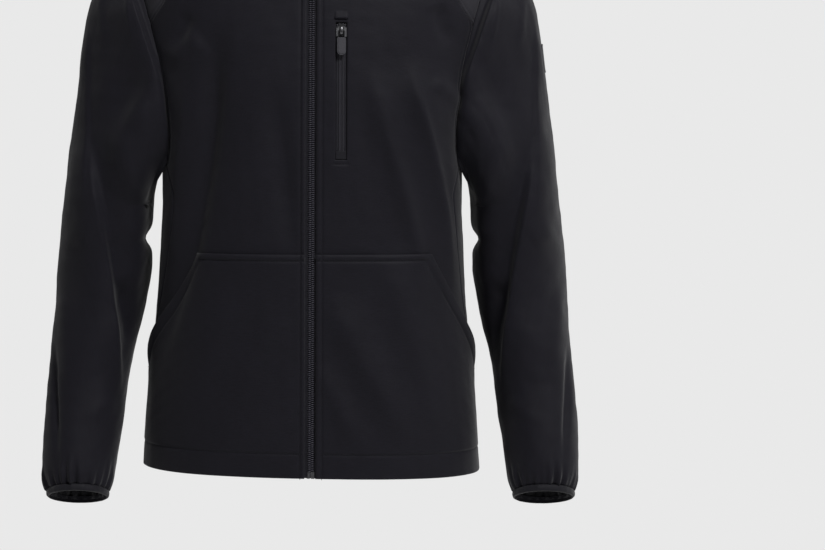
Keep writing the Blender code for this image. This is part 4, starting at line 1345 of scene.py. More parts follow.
    def build_front(self, side: Side, low: Array) -> None:
        """Builds one front, the left one with its chest slot.

        Args:
            side: The wearer's side.
            low: The heights of the rows under the armhole.
        """
        hole, stitch = None, side.topstitch
        if side is Side.LEFT:
            (angle, height), hole = self.slotted_places(low)
        else:
            rise = (FRONT_ARM_STEPS + YOKE_STEPS) * spread(self.arm_tall)[1:]
            u = spread(self.front_wide, close=(stitch,))[None, :]
            angle, height = self.front_places(u, self.front_frame(side.zip_edge, low, rise))
        outer, normals = self.form.cloth(side.value * angle, height)
        both = joined(outer, normals)
        shown = height[:, 0] > PatchPockets.top
        arm = both[len(low) + 2 : len(low) + int(self.arm_sewn * (len(both) - len(low)))]
        lines = [beside_column(both[shown], stitch), beside_column(arm, self.arm_stitch, last=True)]
        if hole:
            x = self.slot.x + np.linspace(-1, 1, 9) * (self.slot.half + self.slot_past)
            z = np.full(len(x), self.slot.bottom - self.slot_stitch)
            lines.append(joined(*self.form.cloth(self.form.angle_at(x, z), z)))
        drop = self.sewing.groove(outer, lines)
        if hole:
            drop = np.maximum(drop, TURN_DEPTH * quarter_round(self.slot.distance(outer), TURN_RADIUS))
        edges = (TURNED, SEWN, TURNED, SEWN)
        face, inside = worked(draw_in(outer), normals, WALL, edges, drop, (stitch * shown[:, None],))
        name = f"front_{side.word}"
        cloth = Shell(f"{name}_cloth", face, inside, SHELL_FACE, FLEECE, hole=hole)
        cloth.sew(name)

    def build_back(self, low: Array) -> None:
        """Builds the back.

        Args:
            low: The heights of the rows under the armhole.
        """
        rise = (BACK_ARM_STEPS + YOKE_STEPS) * spread(self.arm_tall + self.back_extra)[1:]
        levels = (BACK_AT_YOKE, NECKLINE[-1].height)
        rows = self.panel_rows(low, rise, (BACK_ARM_STEPS, 360 - YOKE_END), YOKE_BACK, levels)
        edge_angle, edge_height, centre, weight = (row[:, None] for row in rows)
        u = 2 * spread(self.back_wide)[None, :] - 1
        angle = math.pi + u * (math.pi - edge_angle)
        height = centre + u * u * (edge_height - centre)
        bend = self.form.neck_height(angle[-1]) - height[-1]
        outer, normals = self.form.cloth(angle, height + weight * bend)
        both = joined(outer, normals)
        hem = beside_column(both.swapaxes(0, 1), self.form.hem_depth)
        top = both[len(low) + int(np.searchsorted(rise, BACK_ARM_STEPS)) :]
        seams = [beside_column(top, self.yoke_stitches[1], last) for last in (False, True)]
        drop = self.sewing.groove(outer, [hem, *seams])
        edges = (SEWN, SEWN, TURNED, SEWN)
        face, inside = worked(draw_in(outer), normals, WALL, edges, drop)
        cloth = Shell("back_cloth", face, inside, SHELL_FACE, FLEECE)
        cloth.sew("back")

    def build_yoke(self, side: Side) -> None:
        """Builds one yoke with its double topstitching along the front seam.

        Args:
            side: The wearer's side.
        """
        u = spread(self.yoke_wide, self.yoke_step, close=self.yoke_stitches)[None, :]
        v = spread(self.yoke_tall, self.yoke_step)[:, None]
        low = along_seam(ARMHOLE, (YOKE_END * (1 - 2 * u[0])) % 360)
        neck_from, neck_to = YOKE_FRONT[-1].angle, YOKE_BACK[-1].angle
        high = along_seam(NECKLINE, neck_from + (neck_to - neck_from) * u[0])
        first, last = (along_seam(seam, v[:, 0]) for seam in (YOKE_FRONT, YOKE_BACK))
        places = []
        for b, t, f, e in zip(low, high, first, last):
            corners = (1 - v) * ((1 - u) * b[0] + u * b[-1]) + v * ((1 - u) * t[0] + u * t[-1])
            places.append((1 - u) * f[:, None] + u * e[:, None] + (1 - v) * b + v * t - corners)
        outer, normals = self.form.cloth(side.value * places[0], places[1])
        both = joined(outer, normals)
        lines = [beside_column(both, distance) for distance in self.yoke_stitches]
        drop = self.sewing.groove(outer, lines)
        face, inside = worked(draw_in(outer), normals, WALL, (SEWN,) * 4, drop)
        name = f"yoke_{side.word}"
        cloth = Shell(f"{name}_cloth", face, inside, YOKE_FACE, FLEECE)
        cloth.sew(name)


@dataclass
class PatchPockets:
    """The two lower patch pockets with a slanted hand edge, laid on the fronts."""

    form: TorsoForm
    sewing: Sewing
    top: float = -0.426
    side: float = -0.538
    corner: float = 0.712
    gape: float = 0.0046
    off: float = 0.0014
    wide: float = 0.235
    tall: float = 0.254
    row_step: float = 0.0030
    close_rows: tuple[float, ...] = (0.0, 0.006, 0.012, 0.018)
    hem_clear: float = 0.0015
    stitch_below: float = 0.0075
    stitch_corner: float = 0.655
    stitch_at_side: float = -0.564
    stitch_from: float = 0.012
    stitch_points: int = 160
    hem_skip: int = 6
    cut: Cut = Cut(0.31, 0.31, 0.072)

    def surface(self, side: Side, u: Array, height: Array, v: Array) -> Surface:
        """Points and outward directions of a pocket's outer face.

        Args:
            side: Whose front it lies on.
            u: Shares of the way from zip to side.
            height: Heights.
            v: Shares of the way up to the top edge, which stands off more.

        Returns:
            Points and directions.
        """
        at_zip = self.form.angle_at(side.zip_edge, height)
        angle = side.value * ((1 - u) * at_zip + u * side_seam_angle(height))
        points, normals = self.form.cloth(angle, height)
        past = np.clip((u - self.corner) / (1 - self.corner), 0, 1)
        away = self.off + WALL + self.gape * np.clip(v, 0, 1) ** 3 * ease(past)
        return points + normals * away[..., None], normals

    def slanted(self, u: Array, corner: float, top: float, side: float) -> Array:
        """The height of a line that runs level from the zip to a corner and then slants to the side seam."""
        past = np.clip((u - corner) / (1 - corner), 0, 1)
        return top + (side - top) * smooth(np.linspace(0, 1, len(HAND_EDGE)), np.array(HAND_EDGE), past)

    def hand_edge(self, u: Array) -> Array:
        """The height of the top and hand edge."""
        return self.slanted(u, self.corner, self.top, self.side)

    def hand_stitch(self, u: Array) -> Array:
        """The height of the topstitching below that edge."""
        return self.slanted(u, self.stitch_corner, self.top - self.stitch_below, self.stitch_at_side)

    def build(self) -> None:
        """Builds both pockets."""
        for side in Side:
            self.build_pocket(side)

    def build_pocket(self, side: Side) -> None:
        """Builds one pocket on its front.

        Args:
            side: The wearer's side.
        """
        hem, hem_stitch, stitch = self.form.hem, self.form.hem_depth, side.topstitch
        clear, up = hem_stitch + self.hem_clear, self.tall - self.stitch_below
        u = spread(self.wide, close=(stitch,))[None, :]
        rows = spread(self.tall, self.row_step, close=(hem_stitch, *(up - c for c in self.close_rows)))
        level = np.clip(rows * self.tall, 0, clear)[:, None]
        v = np.clip((rows * self.tall - clear) / (self.tall - clear), 0, 1)[:, None]
        top = self.hand_edge(u)
        height = hem + level + v * (top - hem - clear)
        outer, normals = self.surface(side, u + 0 * height, height, v + 0 * height)
        both = joined(outer, normals)
        run = np.linspace(self.stitch_from, 1, self.stitch_points)
        line = self.hand_stitch(run)
        hand = joined(*self.surface(side, run, line, (line - hem) / (self.hand_edge(run) - hem)))
        low = beside_column(both.swapaxes(0, 1), hem_stitch)[self.hem_skip :]
        drop = self.sewing.groove(outer, [hand, low, beside_column(both, stitch)])
        edges = (TURNED, SEWN, TURNED, TURNED)
        welts = (stitch, 0, 0, top - self.hand_stitch(u))
        face, inside = worked(draw_in(outer), normals, WALL, edges, drop, welts)
        name, under = f"pocket_{side.word}", (f"front_{side.word}_cloth",)
        cloth = Shell(f"{name}_cloth", face, inside, SHELL_FACE, FLEECE)
        cloth.sew(name)


@dataclass
class Collar:
    """The stand collar round the neck, open at the centre front."""

    form: TorsoForm
    sewing: Sewing
    tall: float = 0.062
    lean: float = 0.15
    belly: float = 0.05
    round_long: float = 0.43
    step: float = 0.0026
    tape_bend: float = 8.0
    top_stitch: float = 0.0065
    tuck_thick: float = 0.0008
    cut: Cut = Cut(0.61, 0.088, 0.045)

    def surface(self, angle: Array, up: Array) -> Surface:
        """The collar's outer face.

        Args:
            angle: Angles round the neck.
            up: Distances up the stand.

        Returns:
            Points and outward directions.
        """
        base = self.form.cloth(angle, self.form.neck_height(angle))[0]
        radial = unit(base * np.array([1.0, 1.0, 0]))
        rise = unit(np.array([0, 0, 1.0]) - self.lean * radial)
        up = np.asarray(up)[..., None]
        return base + rise * up + radial * self.belly * up * (1 - up / self.tall), radial

    def edge_angle(self, side: Side) -> float:
        """The angle of a front's zip edge at the neck."""
        return float(self.form.angle_at(side.zip_edge, np.array(NECKLINE[0].height)))

    def stand(self, offset: float, up: Array) -> Array:
        """Points of the zip's own line up the collar.

        Args:
            offset: How far the line is from the middle.
            up: Distances up the stand.

        Returns:
            A point for each distance.
        """
        angles = [side.value * self.edge_angle(side) for side in Side]
        left, right = (self.surface(np.full(len(up), angle), up)[0] for angle in angles)
        middle = (left + right) / 2
        middle[:, 0] = offset
        middle[:, 1] += self.tape_bend * max(abs(offset) - ZIP_EDGE_LEFT, 0) ** 2
        return middle

    def build(self) -> None:
        """Builds the collar."""
        start, end = self.edge_angle(Side.LEFT), 2 * math.pi - self.edge_angle(Side.RIGHT)
        sewn = (TOPSTITCH_LEFT, self.round_long - TOPSTITCH_RIGHT)
        round_it = spread(self.round_long, self.step, close=sewn)
        angle = start + (end - start) * round_it
        up = SEAM + (self.tall - SEAM) * spread(self.tall, self.step, close=(self.tall - self.top_stitch,))
        angle, up = np.meshgrid(angle, up)
        outer, normals = self.surface(angle, up)
        both = joined(outer, normals)
        lines = [
            beside_column(both.swapaxes(0, 1), self.top_stitch, last=True),
            beside_column(both, TOPSTITCH_LEFT),
            beside_column(both, TOPSTITCH_RIGHT, last=True),
        ]
        drop = self.sewing.groove(outer, lines)
        edges = (TURNED, TURNED, SEWN, TURNED)
        welts = (TOPSTITCH_LEFT, TOPSTITCH_RIGHT, 0, self.top_stitch)
        face, inside = worked(draw_in(outer), normals, COLLAR_WALL, edges, drop, welts)
        tuck = outer[0] + unit(outer[0] - outer[3]) * TUCK_DEEP - normals[0] * TUCK_UNDER
        face = np.concatenate([tuck[None], face])
        inside = np.concatenate([[tuck - normals[0] * self.tuck_thick], inside])
        cloth = Shell("collar_cloth", face, inside, SHELL_FACE, FLEECE)
        cloth.sew("collar")


@dataclass
class Sleeve:
    """A sleeve gathered into its narrow elastic binding, drawn on the wearer's left and turned over."""

    form: TorsoForm
    sewing: Sewing
    side: Side
    cap_fullness: float = 0.66
    cap_straight: float = 0.72
    droop: float = 49.0
    droop_swing: float = 21.0
    axis_step: float = 0.01
    columns: int = 196
    close_front: float = 1.3
    close_middle: float = 85.0
    close_half: float = 65.0
    cap_long: float = 0.30
    cap_crowding: float = 1.1
    arm_long: float = 0.35
    cap_rows: int = 76
    close_rows: tuple[float, ...] = (0.006, 0.009, 0.012, 0.015, 0.018, 0.021, 0.024, 0.027)
    arm_rows: int = 84
    bulge: float = 0.0100
    bulge_run: float = 0.0060
    bulge_reach: float = 0.075
    bulge_from: Pair = (72.0, 20.0)
    bulge_to: Pair = (150.0, 40.0)
    dent_fade: float = 0.1
    fold_fade: float = 0.35
    crease_fade: float = 0.03
    rough_fade: float = 0.08
    gather_long: float = 0.030
    gather_deep: float = 0.0016
    gather_counts: tuple[int, ...] = (17, 21, 26)
    hills: float = 0.0006
    hill_wave: float = 0.060
    ripples: float = 0.0002
    ripple_wave: float = 0.020
    seam_place: float = 186.0
    seam_deep: float = 0.0007
    seam_half: float = 0.0020
    tuck_thick: float = 0.0006
    cuff_tall: float = 0.008
    cuff_thick: float = 0.0024
    cuff_puff: float = 0.0008
    cuff_edge: float = 0.0009
    cuff_ripple: float = 0.00022
    cuff_wave: float = 0.009
    cuff_rows: int = 15
    cut: Cut = Cut(0.46, 0.70, 0.222)
    cuff_cut: Cut = Cut(0.24, 0.012, 0.0026)

    def armhole(self, alpha: Array) -> Array:
        """Points of the armhole's seam, turned over to the wearer's left."""
        angle, height = along_seam(ARMHOLE, alpha % 360)
        return self.form.cloth(self.side.value * angle, height)[0] * self.side.turn

    def plain(self, alpha: Array, rows: Array) -> Array:
        """Points of the sleeve without folds.

        Args:
            alpha: Angles round the sleeve in degrees.
            rows: Places down it, 0 to 1 on the cap and 1 to 2 on the arm.

        Returns:
            Points on the wearer's left.
        """
        centres = np.array([(r.x, r.y, r.z) for r in ARM])
        lengths = run_along(centres)
        lengths = lengths / lengths[-1]
        s = np.clip(rows - 1, 0, 1)
        centre, ahead, behind = (
            np.stack([smooth(lengths, values, s + d) for values in centres.T], axis=-1)
            for d in (0, self.axis_step, -self.axis_step)
        )
        axis = unit(ahead - behind)
        outward = np.array([1.0, 0, 0])
        forward = unit(np.cross(axis, outward))
        half_width = smooth(lengths, column(ARM, "half_width"), s)[..., None]
        half_depth = smooth(lengths, column(ARM, "half_depth"), s)[..., None]
        cosine = np.cos(np.radians(alpha))[..., None]
        sine = np.sin(np.radians(alpha))[..., None]
        ring = centre + outward * half_width * cosine + forward * half_depth * sine
        start = self.armhole(alpha)
        reach = np.linalg.norm(ring - start, axis=-1, keepdims=True)
        droop = np.radians(self.droop - self.droop_swing * np.cos(np.radians(alpha)))[..., None]
        leave = np.concatenate([np.cos(droop), 0 * droop, -np.sin(droop)], axis=-1)
        t = np.clip(rows, 0, 1)[..., None]
        cap = (1 + 2 * t) * (1 - t) ** 2 * start + t * (1 - t) ** 2 * self.cap_fullness * reach * leave
        cap = cap + t * t * (3 - 2 * t) * ring + t * t * (t - 1) * self.cap_straight * reach * axis
        points = np.where(t < 1, cap, ring)
        for dent in SLEEVE_DENTS:
            turned = ((alpha - dent.alpha + 180) % 360 - 180) / dent.half_alpha
            above = (points[..., 2] - dent.height) / dent.half_height
            rise = dent.rise * hump(np.hypot(turned, above), 1.0)
            away = outward * cosine + forward * sine
            points = points + away * (rise * ease(rows / self.dent_fade))[..., None]
        return points

    def gathers(self, alpha: Array, to_wrist: Array) -> Array:
        """How far the gathers at the wrist lift the cloth: uneven, and stronger on the outer front.

        Args:
            alpha: Angles round the sleeve in degrees.
            to_wrist: Distances from the wrist.

        Returns:
            A lift for each.
        """
        draw = np.random.default_rng(11 + self.side.value)
        turn = np.radians(alpha)
        waves = np.zeros_like(alpha)
        for count in self.gather_counts:
            waves += draw.uniform(0.5, 0.8) * np.cos(count * turn + draw.uniform(0, 2 * math.pi))
        strength = 0.75 + 0.45 * np.cos(turn - math.radians(50)) * np.cos(turn * 0.5) ** 2
        reach = self.gather_long * (1 + 0.3 * np.sin(5 * turn + 1.0))
        return self.gather_deep * waves * strength * ease(1 - to_wrist / reach)

    def cloth(self, alpha: Array, rows: Array) -> Surface:
        """The sleeve with folds and gathers.

        Args:
            alpha: Angles round the sleeve in degrees.
            rows: Places down it, 0 to 1 on the cap and 1 to 2 on the arm.

        Returns:
            Outer points and outward directions, on the wearer's left.
        """
        plain = self.plain(alpha, rows)
        normals = grid_normals(plain, True)
        lift = relief(plain, normals, SLEEVE_FRONT_FOLDS, SLEEVE_BACK_FOLDS) * ease(rows / self.fold_fade)
        creases = relief(plain, normals, SLEEVE_FRONT_CREASES, SLEEVE_BACK_CREASES)
        lift = lift + creases * ease(rows / self.crease_fade)
        seed = 17 + 2 * self.side.value
        rough = self.hills * unevenness(plain, self.hill_wave, seed)
        rough = rough + self.ripples * unevenness(plain, self.ripple_wave, seed + 1)
        lift = lift + rough * ease(rows / self.rough_fade)
        away = edge_runs(plain)[2]
        front = ease((alpha - self.bulge_from[0]) / self.bulge_from[1])
        front = front * ease((self.bulge_to[0] - alpha) / self.bulge_to[1])
        swell = (1 - np.exp(-away / self.bulge_run)) * hump(away, self.bulge_reach)
        lift = lift + self.bulge * front * swell
        to_wrist = np.linalg.norm(plain - plain[-1:], axis=-1)
        lift = lift + self.gathers(alpha, to_wrist)
        grid = plain + normals * lift[..., None]
        return grid, grid_normals(grid, True)

    def build(self) -> None:
        """Builds the sleeve and its binding."""
        arm = 1 + spread(self.arm_long, self.arm_long / self.arm_rows)[1:]
        cap = spread(self.cap_long, self.cap_long / self.cap_rows, close=self.close_rows)
        rows = np.concatenate([cap**self.cap_crowding, arm])
        turn = np.linspace(0, 360, 1441)
        density = np.cumsum(1 + self.close_front * hump(turn - self.close_middle, self.close_half))
        share = np.arange(self.columns) / self.columns
        alpha = np.interp(share, (density - density[0]) / (density[-1] - density[0]), turn)
        alpha, rows = np.meshgrid(alpha, rows)
        outer, normals = self.cloth(alpha, rows)
        seam = np.argmin(np.abs(alpha[0] - self.seam_place))
        drop = self.seam_deep * hump(line_distance(outer, outer[::3, seam]), self.seam_half)
        angle, height = along_seam(ARMHOLE, alpha[0] % 360)
        inward = -self.form.normals(self.side.value * angle, height) * self.side.turn
        agree = np.clip(-np.sum(inward * normals[0], axis=-1), 0, 1)
        drop = np.maximum(drop, SEAM_DEPTH * agree * quarter_round(edge_runs(outer)[2], SEAM_RADIUS))
        face, inside = worked(outer, normals, WALL, (RAW, RAW, RAW, SEWN), drop)
        tuck = outer[0] + inward * TUCK_DEEP + unit(outer[0] - outer[3]) * TUCK_UNDER
        ends, away, out = self.wrist(alpha[0])
        tail = ends + away * TUCK_DEEP - out * TUCK_UNDER
        face = np.concatenate([tuck[None], face, tail[None]])
        tuck, tail = tuck - normals[0] * self.tuck_thick, tail - out * self.tuck_thick
        inside = np.concatenate([tuck[None], inside, tail[None]])
        turn, word = self.side.turn, self.side.word
        name = f"sleeve_{word}"
        cloth = Shell(f"{name}_cloth", face * turn, inside * turn, SHELL_FACE, FLEECE, closed=True)
        cloth.sew(name)
        self.build_cuff(alpha[0])

    def wrist(self, alpha: Array) -> tuple[Array, Array, Array]:
        """The sleeve's end: its points, the direction off the end, and the directions outwards."""
        ends = self.plain(alpha, 0 * alpha + 2)
        quarter = self.columns // 4
        away = unit(np.cross(ends[0] - ends[2 * quarter], ends[quarter] - ends[3 * quarter]))
        return ends, -away * np.sign(away[2]), unit(ends - ends.mean(axis=0))

    def build_cuff(self, alpha: Array) -> None:
        """Builds the elastic binding: a soft fold round the wrist, stitched along its upper edge.

        Args:
            alpha: Angles of its columns round the sleeve in degrees.
        """
        ends, away, out = self.wrist(alpha)
        t = np.linspace(0, 1, self.cuff_rows)[:, None, None]
        down = SEAM + (self.cuff_tall - SEAM) * t
        rounding = self.cuff_edge * (2 * t - 1) ** 4
        puff = self.cuff_puff * np.sin(math.pi * t) ** 0.5 - rounding
        ripple = self.cuff_ripple * unevenness(ends, self.cuff_wave, 31)[None, :, None]
        band = ends + away * down + out * (puff + ripple)
        inner = ends + away * down + out * (puff + ripple - (self.cuff_thick - rounding))
        line = joined(band[3], out)
        line = np.concatenate([line, line[:1]]) * np.tile(self.side.turn, 2)
        turn = self.side.turn
        self.sewing.groove(band[:1] * turn, [line])
        name = f"cuff_{self.side.word}"
        cloth = Shell(f"{name}_binding", band * turn, inner * turn, BINDING, BINDING, closed=True)
        cloth.sew(name)


@dataclass
class SleevePatch:
    """The bare patch on the outside of the wearer's left sleeve, with an overlocked edge."""

    sleeve: Sleeve
    top: float = -0.185
    tall: float = 0.034
    wide: float = 0.034
    off: float = -0.0004
    thick: float = 0.0018
    rim: float = 0.0004
    rim_wide: float = 0.0024
    rim_step: float = 0.0008
    corner: float = 0.10
    step: float = 0.0012
    search: int = 60
    search_turn: float = 500.0
    search_down: float = 2.0
    cut: Cut = Cut(0.036, 0.036, 0.0012)

    def on_sleeve(self, y: Array, z: Array) -> Array:
        """Points of the sleeve's cap seen from the side, closed in on step by step.

        Args:
            y: Places from front to back.
            z: Heights.

        Returns:
            A point for each.
        """
        alpha, rows = 0 * y, 0 * y + 0.5
        for _ in range(self.search):
            found = self.sleeve.plain(alpha, rows)
            alpha = alpha + self.search_turn * (found[..., 1] - y)
            rows = rows + self.search_down * (found[..., 2] - z)
        return self.sleeve.plain(alpha, rows)

    def build(self) -> None:
        """Builds the patch."""
        a, b = np.meshgrid(*(spread(size, self.step) * 2 - 1 for size in (self.wide, self.tall)))
        pull = 1 - self.corner * a * a * b * b
        y = a * pull * self.wide / 2
        z = self.top - self.tall / 2 - b * pull * self.tall / 2
        points = self.on_sleeve(y, z)
        out = grid_normals(points)
        out = out * np.sign(out[..., :1])
        to_edge = np.minimum.reduce(edge_runs(points))
        raised = self.rim * ease((self.rim_wide - to_edge) / self.rim_step + 0.5)
        low = points + out * self.off
        face = low + out * (self.thick + raised)[..., None]
        face, inside = worked(face, out, self.thick, (TURNED,) * 4)
        cloth = Shell("sleeve_patch_cloth", face, inside, YOKE_FACE, YOKE_FACE)
        cloth.sew("sleeve_patch")


# The least angle in degrees that shows as an edge on a hard piece
SHARP_ANGLE = 38


def placing(point: Array, right: Array, out: Array) -> Matrix:
    """A placing whose X runs along the zip's width, Z up along it and -Y out of the cloth.

    Args:
        point: Where it is.
        right: The direction of the zip's width.
        out: A direction out of the cloth.

    Returns:
        The placing.
    """
    right = Vector(right).normalized()
    out = Vector(out)
    out = (out - right * out.dot(right)).normalized()
    up = right.cross(-out)
    return Matrix.Translation(Vector(point)) @ Matrix((right, -out, up)).transposed().to_4x4()


def plate(shape: Shape, outline: Sequence[Pair], front: float, back: float) -> list[bmesh.types.BMFace]:
    """Adds a closed plate.

    Args:
        shape: The mesh to add to.
        outline: Its corners in X and Z.
        front: The front's Y.
        back: The back's Y.

    Returns:
        The plate's front face and back face.
    """
    sides = [[shape.verts.new((x, y, z)) for x, z in outline] for y in (front, back)]
    faces = [shape.faces.new(sides[0]), shape.faces.new(sides[1][::-1])]
    for j in range(len(outline)):
        k = (j + 1) % len(outline)
        shape.faces.new((sides[0][k], sides[0][j], sides[1][j], sides[1][k]))
    return faces


def tube(shape: Shape, path: Array, radius: Pair, closed: bool, sides: int = 12) -> None:
    """Adds a bar of oval section along a path.

    Args:
        shape: The mesh to add to.
        path: Points along the bar.
        radius: The section's radius in the path's plane and across it.
        closed: Whether the bar runs round to its start.
        sides: How many sides the section has.
    """
    if closed:
        along = unit(np.roll(path, -1, axis=0) - np.roll(path, 1, axis=0))
    else:
        along = unit(np.gradient(path, axis=0))
    plane = unit(np.cross(path[0] - path[len(path) // 3], path[2 * len(path) // 3] - path[len(path) // 3]))
    outward = np.cross(along, plane)
    turns = np.linspace(0, 2 * math.pi, sides, endpoint=False)
    rings = []
    for point, off in zip(path, outward):
        ring = [point + off * radius[0] * math.cos(t) + plane * radius[1] * math.sin(t) for t in turns]
        rings.append([shape.verts.new(p) for p in ring])
    pairs = list(zip(rings, rings[1:])) + ([(rings[-1], rings[0])] if closed else [])
    for low, high in pairs:
        for j in range(sides):
            k = (j + 1) % sides
            shape.faces.new((low[j], low[k], high[k], high[j]))
    if not closed:
        shape.faces.new(rings[0][::-1])
        shape.faces.new(rings[-1])


def round_off(shape: Shape, start: int, offset: float) -> None:
    """Rounds every edge from this one on."""
    shape.edges.ensure_lookup_table()
    bmesh.ops.bevel(shape, geom=shape.edges[start:], offset=offset, segments=3, affect="EDGES")


def hard_piece(
    name: str,
    fill: Callable[[Shape], None],
    where: Matrix,
    finish: Finish,
    node: str = "",
    body: str = JACKET,
) -> None:
    """Builds a small hard piece, sets its mesh in its place and hands it over.

    Args:
        name: The piece's name.
        fill: Makes the shape at the origin.
        where: The piece's place.
        finish: Its finish.
        node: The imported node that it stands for, if any.
        body: The body that it moves with.
    """
    shape = bmesh.new()
    fill(shape)
    bmesh.ops.recalc_face_normals(shape, faces=shape.faces)
    mesh = bpy.data.meshes.new(name)
    shape.to_mesh(mesh)
    shape.free()
    mesh.transform(where)
    mesh.shade_smooth()
    mesh.set_sharp_from_angle(angle=math.radians(SHARP_ANGLE))
    mesh.materials.append(finish.material())
    deliver(link(bpy.data.objects.new(name, mesh)), node, body)


def arc(x: float, z: float, radius: float, start: float, end: float, steps: int) -> list[Pair]:
    """Points of an arc about a centre, between two angles in degrees."""
    turns = np.radians(np.linspace(start, end, steps + 1))
    return [(x + radius * math.cos(t), z + radius * math.sin(t)) for t in turns]


@dataclass
class SliderAndPull:
    """A zip's slider with its bail, and the pull tab that turns on it."""

    name: str
    joint: str
    out: Array
    wide: float
    tall: float = 0.0140
    thick: float = 0.0016
    axis_above: float = 0.0012
    roof_deep: float = 0.0042
    base_past: float = 0.0007
    base_peak: float = 0.00098
    base_short: float = 0.0006
    base_thick: float = 0.0007
    cheek_in: float = 0.0023
    cheek_foot: Pair = (0.0010, 0.0012)
    cheek_back: float = 0.0003
    cheek_round: float = 0.00035
    bail_half: float = 0.0046
    bail_rise: float = 0.0030
    bail_sunk: float = 0.0005
    bail_bar: Pair = (0.0005, 0.0015)
    link_half: float = 0.0031
    link_long: float = 0.0092
    link_bend: float = 0.0012
    link_bar: float = 0.0006
    tab_half: float = 0.0050
    tab_from: float = 0.0080
    tab_long: float = 0.0282
    tab_thick: float = 0.0018
    tab_neck: float = 0.82
    tab_shoulder: float = 0.0012
    tab_round: float = 0.0006
    tab_insets: tuple[float, ...] = (0.0004, 0.0009, 0.0004)
    tab_recess: float = 0.0005

    def build(self) -> None:
        """Builds slider, bail, link and tab."""
        joint = next(j for j in frame["joints"] if j["name"] == self.joint)
        axis = placing(np.array(joint["pos_m"]), -np.array(joint["axis"]), self.out)
        base = axis @ Matrix.Translation((0, self.thick + self.axis_above, 0))
        slider, pull = f"{self.name}_slider", f"{self.name}_pull"
        hard_piece(f"{slider}_body", self.slider, base, METAL, slider)
        # The base's black shows as dark outlines round the cheeks: partly lacquer, partly painted shade
        hard_piece(f"{slider}_base", self.base, base, LACQUER_AND_PAINTED_SHADE)
        hard_piece(f"{pull}_tab", self.tab, axis, MOULDED, pull, pull)
        hard_piece(f"{pull}_link", self.ring, axis, LACQUER_AND_PAINTED_SHADE, body=pull)

    def base(self, shape: Shape) -> None:
        """The slider's black base, which shows round and between its cheeks: partly a lacquer, partly
        painted shade for the shadowed gaps there.
        """
        half, end = self.wide / 2 + self.base_past, self.tall / 2
        foot, eave = -end + self.base_short, end - self.roof_deep + self.base_past
        outline = [(half, foot), (half, eave), (0, end + self.base_peak), (-half, eave), (-half, foot)]
        plate(shape, outline, -self.base_thick, 0.0)

    def slider(self, shape: Shape) -> None:
        """The slider: two cheeks under a pointed roof, and a broad bail between them.

        Args:
            shape: The mesh to fill.
        """
        half, end = self.wide / 2, self.tall / 2
        roof, inner = end - self.roof_deep, self.cheek_in
        slope = (end - roof) / half
        for side in (-1, 1):
            start = len(shape.edges)
            cut_in, cut_up = self.cheek_foot
            cheek = [(inner, -end + cut_up), (inner + cut_in, -end), (half, -end), (half, roof)]
            cheek += [(inner, end - slope * inner), (inner, self.bail_half)]
            plate(shape, [(side * x, z) for x, z in cheek], -self.thick, -self.cheek_back)
            round_off(shape, start, self.cheek_round)
        turns = np.linspace(0, math.pi, 25)
        rise = self.thick - self.bail_sunk + self.bail_rise * np.sin(turns) ** 0.7
        path = np.stack([0 * turns, -rise, self.bail_half * np.cos(turns)], axis=-1)
        tube(shape, path, self.bail_bar, closed=False)

    def ring(self, shape: Shape) -> None:
        """The link: a rounded loop through the bail, let into the tab's head."""
        bend = self.link_bend
        x, low = self.link_half - bend, bend - self.link_long
        corners = ((x, -bend), (-x, -bend), (-x, low), (x, low))
        bends = [arc(*corner, bend, 90 * j, 90 * j + 90, 6) for j, corner in enumerate(corners)]
        path = np.array([(px, 0.0, pz) for part in bends for px, pz in part])
        tube(shape, path, (self.link_bar, self.link_bar), closed=True)

    def tab(self, shape: Shape) -> None:
        """The tab: a moulded strap with a round end, a raised rim and a sunk middle.

        Args:
            shape: The mesh to fill.
        """
        half, head, foot = self.tab_half, -self.tab_from, -self.tab_long
        end = arc(0, foot + half, half, 0, -180, 18)
        neck, shoulder = half * self.tab_neck, head - self.tab_shoulder
        outline = [(neck, head), (half, shoulder), *end, (-half, shoulder), (-neck, head)]
        for face in plate(shape, outline, -self.tab_thick / 2, self.tab_thick / 2):
            for inset, depth in zip(self.tab_insets, (0.0, 0.0, -self.tab_recess)):
                bmesh.ops.inset_region(shape, faces=[face], thickness=inset, depth=depth)
        rim = [e for e in shape.edges if len(e.link_faces) == 2 and e.calc_face_angle(0) > 1.2]
        bmesh.ops.bevel(shape, geom=rim, offset=self.tab_round, segments=3, affect="EDGES")


